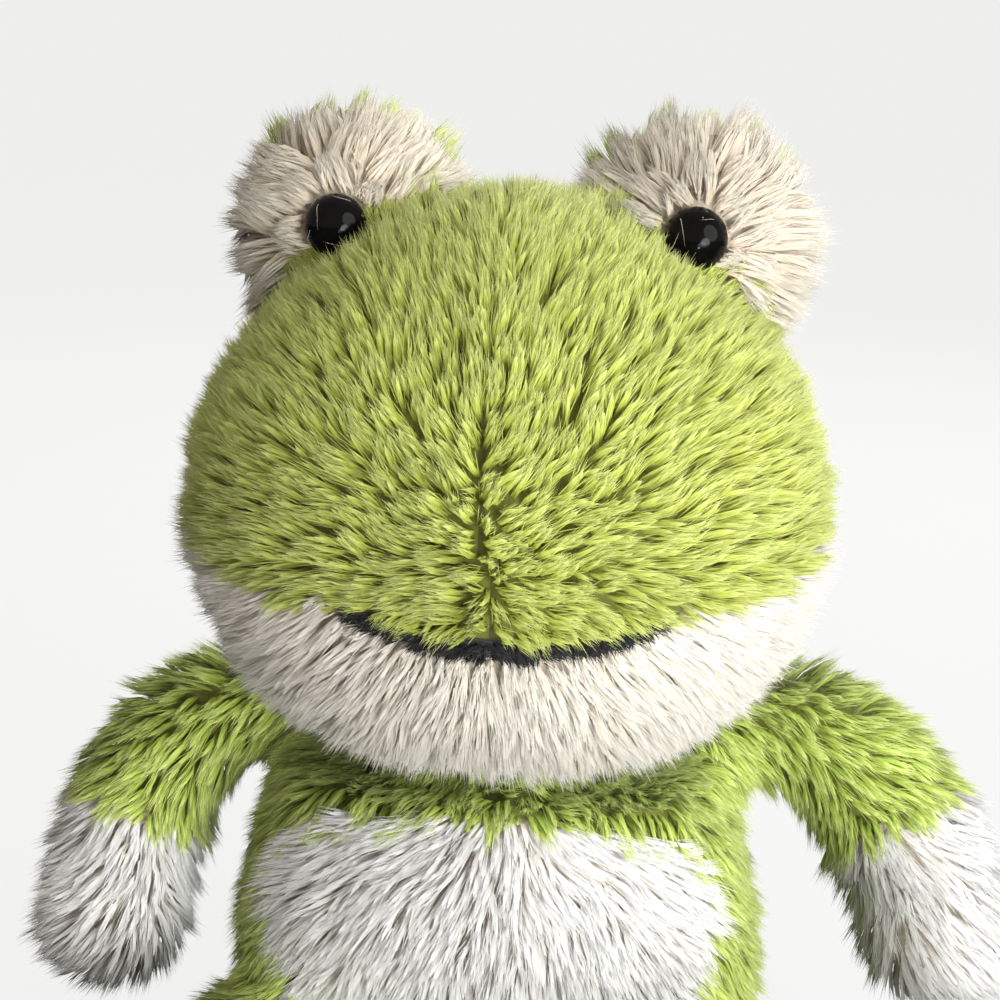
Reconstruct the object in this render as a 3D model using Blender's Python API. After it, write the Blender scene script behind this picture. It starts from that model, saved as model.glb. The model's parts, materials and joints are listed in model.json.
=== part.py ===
"""A sitting plush frog, built the way a soft toy is sewn and stuffed.

Plush panels wrap cores of stuffing. The head turns and nods on a ball of
stuffing in the neck, and each arm and leg swings on a stuffed ball that sits
in a socket of the torso. Lengths are in metres, +Z is up, the frog looks
along -Y, and the origin lies on the floor under the torso.
"""

import math

import bmesh
import bpy
from mathutils import Matrix, Vector

# Cloth and clearances
PLUSH = 0.009
THIN_PLUSH = 0.008
SEWN_GAP = 0.0003
BALL_GAP = 0.0009
FLOOR_CUT = 0.0005
OVERRUN = 0.012
MERGE_DISTANCE = 0.00001

# Torso
TORSO_HEIGHT = 0.124
TORSO_HALF_WIDTH = 0.064
SEAT_HALF_WIDTH = 0.086
TORSO_FRONT = 0.052
TORSO_BACK = 0.050
TORSO_SETBACK = 0.005
TORSO_POWER = 2.6
TUMMY_POWER = 3.2
TUMMY_WIDE_SHARE = 0.66
TUMMY_TALL_SHARE = 0.35
TUMMY_MIDDLE_SHARE = 0.44
TUMMY_START_SHARE = 0.25
BASE_WIDE_SHARE = 0.42
BASE_DEEP_SHARE = 0.48
BASE_CUT_SHARE = 0.22
POUCH_HEIGHT = 0.040

# Neck
NECK_RADIUS = 0.026
NECK_SETBACK = 0.002
NECK_HEIGHT_SHARE = 0.903
COLLAR_DROP_SHARE = 0.14
HEAD_CLEARANCE = 0.0055

# Head
HEAD_HALF_WIDTH = 0.079
HEAD_FRONT = 0.068
HEAD_BACK = 0.056
HEAD_UP = 0.070
HEAD_DOWN = 0.073
HEAD_FORWARD = 0.010
HEAD_SINK = 0.005
HEAD_POWER = 2.2
CROWN_POWER = 1.7
CHIN_POWER = 2.4
CROWN_SEAM_SHARE = 0.21

# Mouth
MOUTH_DROP = 0.024
MOUTH_TILT = math.radians(11.0)
MOUTH_WIDTH = 0.072
LINING_HEIGHT = 0.004
LINING_DEPTH = 0.0045
LINING_SINK = 0.0025

# Eye mounds
MOUND_RADIUS = 0.029
MOUND_RISE = 0.0045
MOUND_SEAM = 0.004
MOUND_SIDE_SHARE = 0.532
MOUND_BACK_SHARE = 0.321

# Eyes and the washers that lock them
EYE_RADIUS = 0.0075
EYE_DOME = 0.0065
EYE_FLANGE = 0.001
EYE_SINK = 0.0065
EYE_LIFT = math.radians(9.0)
SHANK_RADIUS = 0.002
SHANK_LENGTH = 0.012
WASHER_RADIUS = 0.0065
WASHER_THICKNESS = 0.0014

# Arms
ARM_ROUTE = ((0.0, 0.0, 0.0), (0.0261, 0.0, 0.0087), (0.0505, -0.0078, -0.0191), (0.0496, -0.0218, -0.0574))
ARM_ROOT_RADIUS = 0.0185
ARM_SEAM_RADIUS = 0.0165
ARM_RADIUS = 0.020
HAND_RADIUS = 0.0205
HAND_TIP = 0.018
SHOULDER_OUTSET = 0.002
SHOULDER_RISE_SHARE = 0.83
SHOULDER_BACK_SHARE = 0.26
ARM_SEAM_SHARE = 0.15
ARM_SWELL_SHARE = 0.5
WRIST_SHARE = 0.70
RAISED_ARM = math.radians(13.0)

# Legs and feet
LEG_LENGTH = 0.097
LEG_ROOT_RADIUS = 0.024
LEG_SEAM_RADIUS = 0.0215
THIGH_RADIUS = 0.026
LEG_RADIUS = 0.027
ANKLE_RADIUS = 0.024
LEG_SEAM_SHARE = 0.14
THIGH_SHARE = 0.36
LEG_MIDDLE_SHARE = 0.56
LEG_SPLAY = math.radians(15.0)
HIP_OUTSET = 0.007
HIP_FRONT_SHARE = 0.76
FOOT_HALF_WIDTH = 0.027
FOOT_HALF_HEIGHT = 0.034
FOOT_HALF_LENGTH = 0.020
FOOT_REACH = 0.007
FOOT_POWER = 2.3

# Facets
FORM_FACETS = (24, 13)
SMALL_FACETS = (16, 9)
HOLLOW_FACETS = (12, 7)
SOCKET_DETAIL = 3
LIMB_SIDES = 14
LIMB_RINGS = 6
ROUND_RINGS = 3
TURNED_SIDES = 16
OUTLINE_POINTS = 32

# Colours and roughness
GREEN = (0.48, 0.62, 0.11)
WHITE = (0.87, 0.84, 0.78)
BLACK = (0.012, 0.012, 0.013)
FIBRE = (0.90, 0.90, 0.88)
POUCH = (0.78, 0.74, 0.66)
CLEAR = (0.82, 0.83, 0.82)


class Form:
    """A stuffed shape that swells from its centre by its own reach on each side."""

    def __init__(self, centre, widths, depths, heights, powers, turn=0.0):
        self.centre = Vector(centre)
        self.low_width, self.high_width = widths
        self.front, self.back = depths
        self.down, self.up = heights
        self.level_power, self.down_power, self.up_power = powers
        self.turn = Matrix.Rotation(turn, 3, "Z")

    def width_at(self, height):
        """Half-width at a height over the centre, which flares towards the low one."""
        flare = ((self.up - height) / (self.up + self.down)) ** 2
        return self.high_width + (self.low_width - self.high_width) * flare

    def upright(self, height):
        """Reach and power of the half that a height over the centre lies in."""
        return (self.up, self.up_power) if height > 0 else (self.down, self.down_power)

    def point(self, direction, inset):
        """Surface point in a direction, moved inwards by the inset."""
        tall, power = self.upright(direction.z)
        depth = self.front if direction.y < 0 else self.back
        level = abs(direction.x) ** self.level_power + abs(direction.y) ** self.level_power
        whole = level ** (power / self.level_power) + abs(direction.z) ** power
        unit = direction * whole ** (-1.0 / power)
        width = self.width_at(unit.z * tall)
        local = Vector((unit.x * (width - inset), unit.y * (depth - inset), unit.z * (tall - inset)))
        return self.centre + self.turn @ local

    def side_at(self, y, z):
        """Half-width of the surface at a place y and a height z."""
        across, height = y - self.centre.y, z - self.centre.z
        tall, power = self.upright(height)
        depth = self.front if across < 0 else self.back
        level = (1.0 - abs(height / tall) ** power) ** (self.level_power / power)
        level -= abs(across / depth) ** self.level_power
        return self.width_at(height) * level ** (1.0 / self.level_power)

    def top_at(self, x, y):
        """Height of the upper surface over a place x, y of a form without a taper."""
        across = y - self.centre.y
        depth = self.front if across < 0 else self.back
        level = abs(x / self.high_width) ** self.level_power + abs(across / depth) ** self.level_power
        share = 1.0 - level ** (self.up_power / self.level_power)
        return self.centre.z + self.up * share ** (1.0 / self.up_power)


class Limb:
    """A stuffed limb along a curved route, from a ball at its root to its far end."""

    def __init__(self, route, stations, across, tip=None):
        self.route = [Vector(point) for point in route]
        self.stations = stations
        self.across = Vector(across)
        self.tip = tip

    def place(self, share):
        """Point and direction of the route at a share of its way."""
        a, b, c, d = self.route
        rest = 1.0 - share
        point = a * rest ** 3 + b * (3 * rest ** 2 * share) + c * (3 * rest * share ** 2) + d * share ** 3
        way = (b - a) * rest ** 2 + (c - b) * (2 * rest * share) + (d - c) * share ** 2
        return point, way.normalized()

    def radius(self, share):
        """Radius at a share of the way, eased from station to station."""
        for (start, low), (end, high) in zip(self.stations, self.stations[1:]):
            if share <= end:
                ease = 0.5 - 0.5 * math.cos(math.pi * (share - start) / (end - start))
                return low + (high - low) * ease
        return self.stations[-1][1]

    def ring(self, point, way, radius):
        """Points of one ring across the route."""
        first = (self.across - way * self.across.dot(way)).normalized()
        second = way.cross(first)
        angles = [math.tau * step / LIMB_SIDES for step in range(LIMB_SIDES)]
        return [point + (first * math.cos(a) + second * math.sin(a)) * radius for a in angles]

    def rings(self, inset, end):
        """Rings from root to far end, where a flat end lies past the route by end."""
        quarter = [0.5 * math.pi * step / ROUND_RINGS for step in range(1, ROUND_RINGS + 1)]
        point, way = self.place(0.0)
        reach = self.radius(0.0) - inset
        rings = [self.ring(point - way * reach * math.cos(a), way, reach * math.sin(a)) for a in quarter]
        for step in range(1, LIMB_RINGS + 1):
            share = step / LIMB_RINGS
            point, way = self.place(share)
            rings.append(self.ring(point, way, self.radius(share) - inset))
        if self.tip is None:
            rings.append(self.ring(point + way * end, way, self.radius(1.0) - inset))
            return rings if end else rings[:-1]
        reach = self.radius(1.0) - inset
        for a in quarter[:-1]:
            along = (self.tip - inset) * math.sin(a)
            rings.append(self.ring(point + way * along, way, reach * math.cos(a)))
        return rings

    def ends(self, inset):
        """Root pole and, on a limb with a round tip, the tip's pole."""
        root, root_way = self.place(0.0)
        tip, tip_way = self.place(1.0)
        root_pole = root - root_way * (self.radius(0.0) - inset)
        return root_pole, None if self.tip is None else tip + tip_way * (self.tip - inset)


def new_object(name, bm):
    """Object made from a bmesh of triangles that are turned outwards."""
    bmesh.ops.triangulate(bm, faces=bm.faces, quad_method="FIXED")
    bmesh.ops.recalc_face_normals(bm, faces=bm.faces)
    mesh = bpy.data.meshes.new(name)
    bm.to_mesh(mesh)
    bm.free()
    piece = bpy.data.objects.new(name, mesh)
    bpy.context.scene.collection.objects.link(piece)
    return piece


def form_object(name, form, inset=0.0, facets=FORM_FACETS):
    """A form's surface, moved inwards by the inset, with no edge on its middle plane."""
    bm = bmesh.new()
    around, rows = facets
    bmesh.ops.create_uvsphere(bm, u_segments=around, v_segments=rows, radius=1.0)
    half_facet = Matrix.Rotation(math.pi / around, 3, "Z")
    for vert in bm.verts:
        vert.co = form.point((half_facet @ vert.co).normalized(), inset)
    return new_object(name, bm)


def ball_form(centre, radius):
    """Form of a ball."""
    return Form(centre, (radius, radius), (radius, radius), (radius, radius), (2.0, 2.0, 2.0))


def ball_object(name, centre, radius):
    """A ball of even facets, for a joint."""
    bm = bmesh.new()
    bmesh.ops.create_icosphere(bm, subdivisions=SOCKET_DETAIL, radius=radius)
    bmesh.ops.translate(bm, verts=bm.verts, vec=centre)
    return new_object(name, bm)


def limb_object(name, limb, inset=0.0, end=0.0):
    """A limb's surface, moved inwards by the inset."""
    bm = bmesh.new()
    rings = [[bm.verts.new(point) for point in ring] for ring in limb.rings(inset, end)]
    for low, high in zip(rings, rings[1:]):
        for i in range(LIMB_SIDES):
            j = (i + 1) % LIMB_SIDES
            bm.faces.new((low[i], low[j], high[j], high[i]))
    root, tip = limb.ends(inset)
    close_ring(bm, rings[0], root)
    if tip is None:
        bm.faces.new(rings[-1])
    else:
        close_ring(bm, rings[-1], tip)
    return new_object(name, bm)


def close_ring(bm, ring, pole):
    """Fan of triangles from a ring to its pole."""
    middle = bm.verts.new(pole)
    for i, vert in enumerate(ring):
        bm.faces.new((vert, ring[(i + 1) % len(ring)], middle))


def turned_object(name, profile, start, way):
    """Solid turned from a profile of (radius, distance) about an axis."""
    bm = bmesh.new()
    verts = [bm.verts.new((radius, 0.0, distance)) for radius, distance in profile]
    edges = [bm.edges.new(pair) for pair in zip(verts, verts[1:] + verts[:1])]
    bmesh.ops.spin(bm, geom=verts + edges, cent=(0, 0, 0), axis=(0, 0, 1),
                   angle=math.tau, steps=TURNED_SIDES, use_merge=True, use_duplicate=False)
    bmesh.ops.remove_doubles(bm, verts=bm.verts, dist=MERGE_DISTANCE)
    lines = [edge for edge in bm.edges if not edge.link_faces]
    bmesh.ops.delete(bm, geom=lines, context="EDGES")
    stand = Matrix.Translation(start) @ Vector(way).to_track_quat("Z", "Y").to_matrix().to_4x4()
    bmesh.ops.transform(bm, matrix=stand, verts=bm.verts)
    return new_object(name, bm)


def block_beyond(point, normal, side):
    """Cutter that fills the space beyond a plane, out to a cube's side."""
    bm = bmesh.new()
    bmesh.ops.create_cube(bm, size=side)
    bmesh.ops.translate(bm, verts=bm.verts, vec=(0.0, 0.0, side / 2))
    stand = Matrix.Translation(point) @ Vector(normal).to_track_quat("Z", "Y").to_matrix().to_4x4()
    bmesh.ops.transform(bm, matrix=stand, verts=bm.verts)
    return new_object("block_cutter", bm)


def box_cutter(low, high, stand):
    """Cutter box between two corners of a placed frame."""
    bm = bmesh.new()
    bmesh.ops.create_cube(bm, size=1.0)
    middle = (Vector(low) + Vector(high)) / 2
    size = Vector(high) - Vector(low)
    bmesh.ops.scale(bm, vec=size, verts=bm.verts)
    bmesh.ops.translate(bm, vec=middle, verts=bm.verts)
    bmesh.ops.transform(bm, matrix=stand, verts=bm.verts)
    return new_object("box_cutter", bm)


def outline_cutter(half_width, half_height, power, start, stand):
    """Cutter with a superellipse outline, extruded by start along the frame's Z."""
    bm = bmesh.new()
    ring = []
    for step in range(OUTLINE_POINTS):
        angle = math.tau * step / OUTLINE_POINTS
        across, up = math.cos(angle), math.sin(angle)
        reach = (abs(across) ** power + abs(up) ** power) ** (-1.0 / power)
        ring.append(bm.verts.new((across * reach * half_width, up * reach * half_height, 0.0)))
    face = bm.faces.new(ring)
    top = bmesh.ops.extrude_face_region(bm, geom=[face])["geom"]
    raised = [item for item in top if isinstance(item, bmesh.types.BMVert)]
    bmesh.ops.translate(bm, verts=raised, vec=(0.0, 0.0, start))
    bmesh.ops.transform(bm, matrix=stand, verts=bm.verts)
    return new_object("outline_cutter", bm)


def carve(piece, cutter, operation="DIFFERENCE", keep=False):
    """Cut a piece by a cutter, or keep what both share."""
    cut = piece.modifiers.new("cut", "BOOLEAN")
    cut.operation = operation
    cut.object = cutter
    graph = bpy.context.evaluated_depsgraph_get()
    mesh = bpy.data.meshes.new_from_object(piece.evaluated_get(graph))
    piece.modifiers.clear()
    old = piece.data
    piece.data = mesh
    bpy.data.meshes.remove(old)
    if not keep:
        drop(cutter)
    return piece


def drop(piece):
    """Remove an object and its mesh."""
    mesh = piece.data
    bpy.data.objects.remove(piece)
    bpy.data.meshes.remove(mesh)


def copy_of(piece, name):
    """Copy of an object with its own mesh."""
    twin = bpy.data.objects.new(name, piece.data.copy())
    bpy.context.scene.collection.objects.link(twin)
    return twin


def trim(piece, *planes):
    """Cut away all that lies beyond each plane of (point, normal)."""
    for point, normal in planes:
        carve(piece, block_beyond(point, normal, CUTTER_SIDE))
    return piece


def finish(piece, colour, roughness=0.95):
    """Give a piece its own material and smooth round faces."""
    material = bpy.data.materials.new(piece.name)
    material.use_nodes = True
    shader = material.node_tree.nodes["Principled BSDF"]
    shader.inputs["Base Color"].default_value = (*colour, 1.0)
    shader.inputs["Roughness"].default_value = roughness
    shader.inputs["Metallic"].default_value = 0.0
    piece.data.materials.clear()
    piece.data.materials.append(material)
    piece.data.shade_smooth()
    piece.data.set_sharp_from_angle(angle=math.radians(40.0))
    return piece


def carrier(name, point, parent=None, turn=0.0):
    """Empty on a joint's axis that carries the pieces of one moving body."""
    empty = bpy.data.objects.new(name, None)
    bpy.context.scene.collection.objects.link(empty)
    empty.parent = parent
    empty.location = Vector(point) - (parent.matrix_world.translation if parent else Vector())
    empty.rotation_euler = (0.0, turn, 0.0)
    bpy.context.view_layer.update()
    return empty


def hang(empty, joint_point, *pieces):
    """Put the origin of each piece on its joint and parent it to the empty."""
    for piece in pieces:
        piece.data.transform(Matrix.Translation(-Vector(joint_point)))
        piece.parent = empty


# Forms and places that follow from the sizes
CUTTER_SIDE = 2 * (TORSO_HEIGHT + HEAD_UP + HEAD_DOWN)
TORSO_MIDDLE = TORSO_HEIGHT / 2
TORSO_REACH = TORSO_MIDDLE + FLOOR_CUT
TORSO = Form(
    (0.0, TORSO_SETBACK, TORSO_MIDDLE),
    (SEAT_HALF_WIDTH, TORSO_HALF_WIDTH),
    (TORSO_FRONT, TORSO_BACK),
    (TORSO_REACH, TORSO_REACH),
    (TORSO_POWER, TORSO_POWER, TORSO_POWER),
)
NECK_POINT = Vector((0.0, NECK_SETBACK, NECK_HEIGHT_SHARE * TORSO_HEIGHT))
HEAD_CENTRE = Vector((0.0, -HEAD_FORWARD, NECK_POINT.z + HEAD_DOWN - HEAD_SINK))
HEAD = Form(
    HEAD_CENTRE,
    (HEAD_HALF_WIDTH, HEAD_HALF_WIDTH),
    (HEAD_FRONT, HEAD_BACK),
    (HEAD_DOWN, HEAD_UP),
    (HEAD_POWER, CHIN_POWER, CROWN_POWER),
)
MOUTH_POINT = HEAD_CENTRE - Vector((0.0, HEAD_FRONT, MOUTH_DROP))
MOUTH_UP = Vector((0.0, -math.sin(MOUTH_TILT), math.cos(MOUTH_TILT)))
CROWN_SEAM_Y = HEAD_CENTRE.y + CROWN_SEAM_SHARE * HEAD_BACK
FLOOR = (Vector(), (0, 0, -1))
SIDES = {"left": 1, "right": -1}


def shoulder_point(side):
    """Middle of a shoulder's ball."""
    y = TORSO_SETBACK + SHOULDER_BACK_SHARE * TORSO_BACK
    z = SHOULDER_RISE_SHARE * TORSO_HEIGHT
    return Vector((side * (TORSO.side_at(y, z) + SHOULDER_OUTSET), y, z))


def hip_point(side):
    """Middle of a hip's ball."""
    y = TORSO_SETBACK - HIP_FRONT_SHARE * TORSO_FRONT
    z = LEG_RADIUS - FLOOR_CUT
    return Vector((side * (TORSO.side_at(y, z) + HIP_OUTSET), y, z))


def mound_point(side):
    """Middle of an eye mound, a little above the head's surface."""
    x = side * MOUND_SIDE_SHARE * HEAD_HALF_WIDTH
    y = HEAD_CENTRE.y + MOUND_BACK_SHARE * HEAD_BACK
    return Vector((x, y, HEAD.top_at(x, y) + MOUND_RISE))


def arm_limb(side):
    """Arm from its ball, outwards and then down and forwards."""
    root = shoulder_point(side)
    route = [root + Vector((side * x, y, z)) for x, y, z in ARM_ROUTE]
    stations = (
        (0.0, ARM_ROOT_RADIUS), (ARM_SEAM_SHARE, ARM_SEAM_RADIUS),
        (ARM_SWELL_SHARE, ARM_RADIUS), (1.0, HAND_RADIUS),
    )
    return Limb(route, stations, (0.0, 1.0, 0.0), tip=HAND_TIP)


def leg_way(side):
    """Direction that a leg points in."""
    return Vector((side * math.sin(LEG_SPLAY), -math.cos(LEG_SPLAY), 0.0))


def leg_limb(side):
    """Leg from its ball, straight forwards and a little outwards along the floor."""
    root = hip_point(side)
    route = [root + leg_way(side) * LEG_LENGTH * step / 3 for step in range(4)]
    stations = (
        (0.0, LEG_ROOT_RADIUS), (LEG_SEAM_SHARE, LEG_SEAM_RADIUS), (THIGH_SHARE, THIGH_RADIUS),
        (LEG_MIDDLE_SHARE, LEG_RADIUS), (1.0, ANKLE_RADIUS),
    )
    return Limb(route, stations, (0.0, 0.0, 1.0))


def foot_form(side):
    """Foot that stands upright at the end of a leg."""
    centre = hip_point(side) + leg_way(side) * (LEG_LENGTH + FOOT_REACH)
    centre.z = FOOT_HALF_HEIGHT - FLOOR_CUT
    return Form(
        centre,
        (FOOT_HALF_WIDTH, FOOT_HALF_WIDTH),
        (FOOT_HALF_LENGTH, FOOT_HALF_LENGTH),
        (FOOT_HALF_HEIGHT, FOOT_HALF_HEIGHT),
        (FOOT_POWER, FOOT_POWER, FOOT_POWER),
        turn=side * LEG_SPLAY,
    )


def cut_collar_and_sockets(piece):
    """Cut the top of the torso and the sockets of the neck, shoulders and hips."""
    reach = SEAT_HALF_WIDTH + OVERRUN
    top = TORSO_HEIGHT + OVERRUN
    profile = [(0.0, NECK_POINT.z), (reach, NECK_POINT.z - COLLAR_DROP_SHARE * reach), (reach, top), (0.0, top)]
    carve(piece, turned_object("collar_cutter", profile, (0.0, NECK_SETBACK, 0.0), (0, 0, 1)))
    carve(piece, ball_object("neck_socket", NECK_POINT, NECK_RADIUS + BALL_GAP))
    for side in SIDES.values():
        carve(piece, ball_object("shoulder_socket", shoulder_point(side), ARM_ROOT_RADIUS + BALL_GAP))
        carve(piece, ball_object("hip_socket", hip_point(side), LEG_ROOT_RADIUS + BALL_GAP))
    return piece


def tummy_cutter(gap):
    """Outline of the tummy panel, seen from the front."""
    start = TORSO_SETBACK - TUMMY_START_SHARE * TORSO_FRONT
    stand = Matrix.Translation((0.0, start, TUMMY_MIDDLE_SHARE * TORSO_HEIGHT))
    stand @= Matrix.Rotation(math.pi / 2, 4, "X")
    width = TUMMY_WIDE_SHARE * SEAT_HALF_WIDTH + gap
    height = TUMMY_TALL_SHARE * TORSO_HEIGHT + gap
    return outline_cutter(width, height, TUMMY_POWER, TORSO_FRONT + OVERRUN, stand)


def base_cutter(gap):
    """Oval outline of the base panel, seen from below."""
    stand = Matrix.Translation((0.0, TORSO_SETBACK, -OVERRUN))
    width = BASE_WIDE_SHARE * SEAT_HALF_WIDTH + gap
    depth = BASE_DEEP_SHARE * TORSO_BACK + gap
    return outline_cutter(width, depth, 2.0, OVERRUN + BASE_CUT_SHARE * TORSO_HEIGHT, stand)


def make_torso():
    """Tummy, two sides, base panel and what fills them."""
    shell = cut_collar_and_sockets(trim(form_object("shell", TORSO), FLOOR))
    carve(shell, form_object("cavity", TORSO, inset=PLUSH, facets=HOLLOW_FACETS))
    tummy = carve(copy_of(shell, "tummy"), tummy_cutter(0.0), "INTERSECT")
    carve(tummy, base_cutter(SEWN_GAP))
    base = carve(copy_of(shell, "base_panel"), base_cutter(0.0), "INTERSECT")
    carve(shell, tummy_cutter(SEWN_GAP))
    carve(shell, base_cutter(SEWN_GAP))
    pieces = [finish(tummy, WHITE), finish(base, GREEN)]
    for name, side in SIDES.items():
        half = trim(copy_of(shell, f"torso_side_{name}"), (Vector((side * SEWN_GAP / 2, 0, 0)), (-side, 0, 0)))
        pieces.append(finish(half, GREEN))
    drop(shell)

    core = form_object("core", TORSO, inset=PLUSH + SEWN_GAP, facets=HOLLOW_FACETS)
    cut_collar_and_sockets(core)
    stuffing = trim(copy_of(core, "torso_stuffing"), (Vector((0, 0, POUCH_HEIGHT + SEWN_GAP / 2)), (0, 0, -1)))
    pouch = trim(copy_of(core, "seat_pouch"), (Vector((0, 0, POUCH_HEIGHT - SEWN_GAP / 2)), (0, 0, 1)))
    drop(core)
    return pieces + [finish(stuffing, FIBRE), finish(pouch, POUCH)]


def mouth_box(gap, front):
    """Box over the mouth's plane that holds the black lining, open at its front."""
    stand = Matrix.Translation(MOUTH_POINT) @ Matrix.Rotation(MOUTH_TILT, 4, "X")
    half = MOUTH_WIDTH / 2 + gap
    low = (-half, -front, SEWN_GAP / 2 - gap)
    high = (half, HEAD_FRONT / 2, LINING_HEIGHT + gap)
    return box_cutter(low, high, stand)


def make_mouth_lining():
    """Black strip that shows between the lips and follows their curve."""
    lining = form_object("mouth_lining", HEAD, inset=LINING_SINK)
    carve(lining, mouth_box(0.0, OVERRUN), "INTERSECT")
    carve(lining, form_object("behind_lining", HEAD, inset=LINING_SINK + LINING_DEPTH))
    return finish(lining, BLACK, 0.9)


def mouth_slot():
    """Cutter of the slot that the lining lies in."""
    slot = mouth_box(SEWN_GAP, OVERRUN)
    return carve(slot, form_object("behind_slot", HEAD, inset=LINING_SINK + LINING_DEPTH + SEWN_GAP))


def eye_way():
    """Direction that both eyes look in."""
    return Vector((0.0, -math.cos(EYE_LIFT), math.sin(EYE_LIFT)))


def eye_seat_cutter(side):
    """Recess of an eye, its shank and its washer."""
    base = MOUND_RADIUS - EYE_SINK
    shank_end = base - SHANK_LENGTH - SEWN_GAP
    washer_face = MOUND_RADIUS - THIN_PLUSH
    washer_back = washer_face - WASHER_THICKNESS - 2 * SEWN_GAP
    hole = SHANK_RADIUS + SEWN_GAP
    rim = WASHER_RADIUS + SEWN_GAP
    seat = EYE_RADIUS + SEWN_GAP
    mouth = MOUND_RADIUS + OVERRUN
    profile = [
        (0.0, shank_end), (hole, shank_end), (hole, washer_back), (rim, washer_back),
        (rim, washer_face), (hole, washer_face), (hole, base - SEWN_GAP),
        (seat, base - SEWN_GAP), (seat, mouth), (0.0, mouth),
    ]
    return turned_object("eye_seat", profile, mound_point(side), eye_way())


def make_eye(name, side):
    """Glossy domed eye with the shank that passes through the plush."""
    base = MOUND_RADIUS - EYE_SINK
    end = base - SHANK_LENGTH
    profile = [(0.0, end), (SHANK_RADIUS, end), (SHANK_RADIUS, base), (EYE_RADIUS, base)]
    steps = 2 * ROUND_RINGS
    for step in range(steps):
        angle = 0.5 * math.pi * step / steps
        profile.append((EYE_RADIUS * math.cos(angle), base + EYE_FLANGE + EYE_DOME * math.sin(angle)))
    profile.append((0.0, base + EYE_FLANGE + EYE_DOME))
    eye = turned_object(f"eye_{name}", profile, mound_point(side), eye_way())

    front = MOUND_RADIUS - THIN_PLUSH - SEWN_GAP
    back = front - WASHER_THICKNESS
    hole = SHANK_RADIUS + SEWN_GAP
    ring = [(hole, back), (WASHER_RADIUS, back), (WASHER_RADIUS, front), (hole, front)]
    washer = turned_object(f"eye_washer_{name}", ring, mound_point(side), eye_way())
    return [finish(eye, BLACK, 0.05), finish(washer, CLEAR, 0.4)]


def make_mound(name, side):
    """Eye mound of a white front and a green back round a core of stuffing."""
    centre = mound_point(side)
    form = ball_form(centre, MOUND_RADIUS)
    shell = form_object("mound_shell", form, facets=SMALL_FACETS)
    carve(shell, form_object("head_below", HEAD, inset=-SEWN_GAP))
    carve(shell, form_object("mound_cavity", form, THIN_PLUSH, HOLLOW_FACETS))
    seam = centre + Vector((0.0, MOUND_SEAM, 0.0))
    half_gap = Vector((0.0, SEWN_GAP / 2, 0.0))
    front = trim(copy_of(shell, f"mound_front_{name}"), (seam - half_gap, (0, 1, 0)))
    back = trim(shell, (seam + half_gap, (0, -1, 0)))
    back.name = f"mound_back_{name}"
    carve(front, eye_seat_cutter(side))

    core = form_object(f"mound_stuffing_{name}", form, THIN_PLUSH + SEWN_GAP, HOLLOW_FACETS)
    carve(core, form_object("head_below", HEAD, inset=-SEWN_GAP))
    carve(core, eye_seat_cutter(side))
    return [finish(front, WHITE), finish(back, GREEN), finish(core, FIBRE)]


def make_head():
    """Muzzle and back halves, jaw, lining and stuffing of the head, with its mounds and eyes."""
    underside = (NECK_POINT + Vector((0.0, 0.0, HEAD_CLEARANCE)), (0, 0, -1))
    shell = trim(form_object("shell", HEAD), underside)
    socket = ball_object("neck_socket", NECK_POINT, NECK_RADIUS + BALL_GAP)
    carve(shell, socket, keep=True)
    carve(shell, form_object("cavity", HEAD, inset=PLUSH, facets=HOLLOW_FACETS))
    over_mouth = (MOUTH_POINT - MOUTH_UP * SEWN_GAP / 2, MOUTH_UP)
    under_mouth = (MOUTH_POINT + MOUTH_UP * SEWN_GAP / 2, -MOUTH_UP)
    behind_seam = (Vector((0.0, CROWN_SEAM_Y - SEWN_GAP / 2, 0.0)), (0, 1, 0))
    before_seam = (Vector((0.0, CROWN_SEAM_Y + SEWN_GAP / 2, 0.0)), (0, -1, 0))

    pieces = [finish(trim(copy_of(shell, "jaw"), over_mouth, behind_seam), WHITE), make_mouth_lining()]
    muzzle = trim(copy_of(shell, "muzzle"), under_mouth, behind_seam)
    carve(muzzle, mouth_slot())
    rear = trim(shell, before_seam)
    for name, side in SIDES.items():
        middle = (Vector((side * SEWN_GAP / 2, 0, 0)), (-side, 0, 0))
        muzzle_half = trim(copy_of(muzzle, f"muzzle_{name}"), middle)
        carve(muzzle_half, eye_seat_cutter(side))
        rear_half = trim(copy_of(rear, f"head_back_{name}"), middle)
        pieces += [finish(muzzle_half, GREEN), finish(rear_half, GREEN)]
        pieces += make_mound(name, side) + make_eye(name, side)
    drop(muzzle)
    drop(rear)

    core = trim(form_object("head_stuffing", HEAD, inset=PLUSH + SEWN_GAP, facets=HOLLOW_FACETS), underside)
    pieces.append(finish(carve(core, socket), FIBRE))
    return pieces


def make_arm(name, side):
    """Green sleeve, white hand and the stuffing inside them."""
    limb = arm_limb(side)
    wrist, way = limb.place(WRIST_SHARE)
    shell = limb_object("arm_shell", limb)
    carve(shell, limb_object("arm_cavity", limb, inset=THIN_PLUSH))
    sleeve = trim(copy_of(shell, f"arm_sleeve_{name}"), (wrist - way * SEWN_GAP / 2, way))
    hand = trim(shell, (wrist + way * SEWN_GAP / 2, -way))
    hand.name = f"hand_{name}"
    core = limb_object(f"arm_stuffing_{name}", limb, inset=THIN_PLUSH + SEWN_GAP)
    return [finish(sleeve, GREEN), finish(hand, WHITE), finish(core, FIBRE)]


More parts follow.
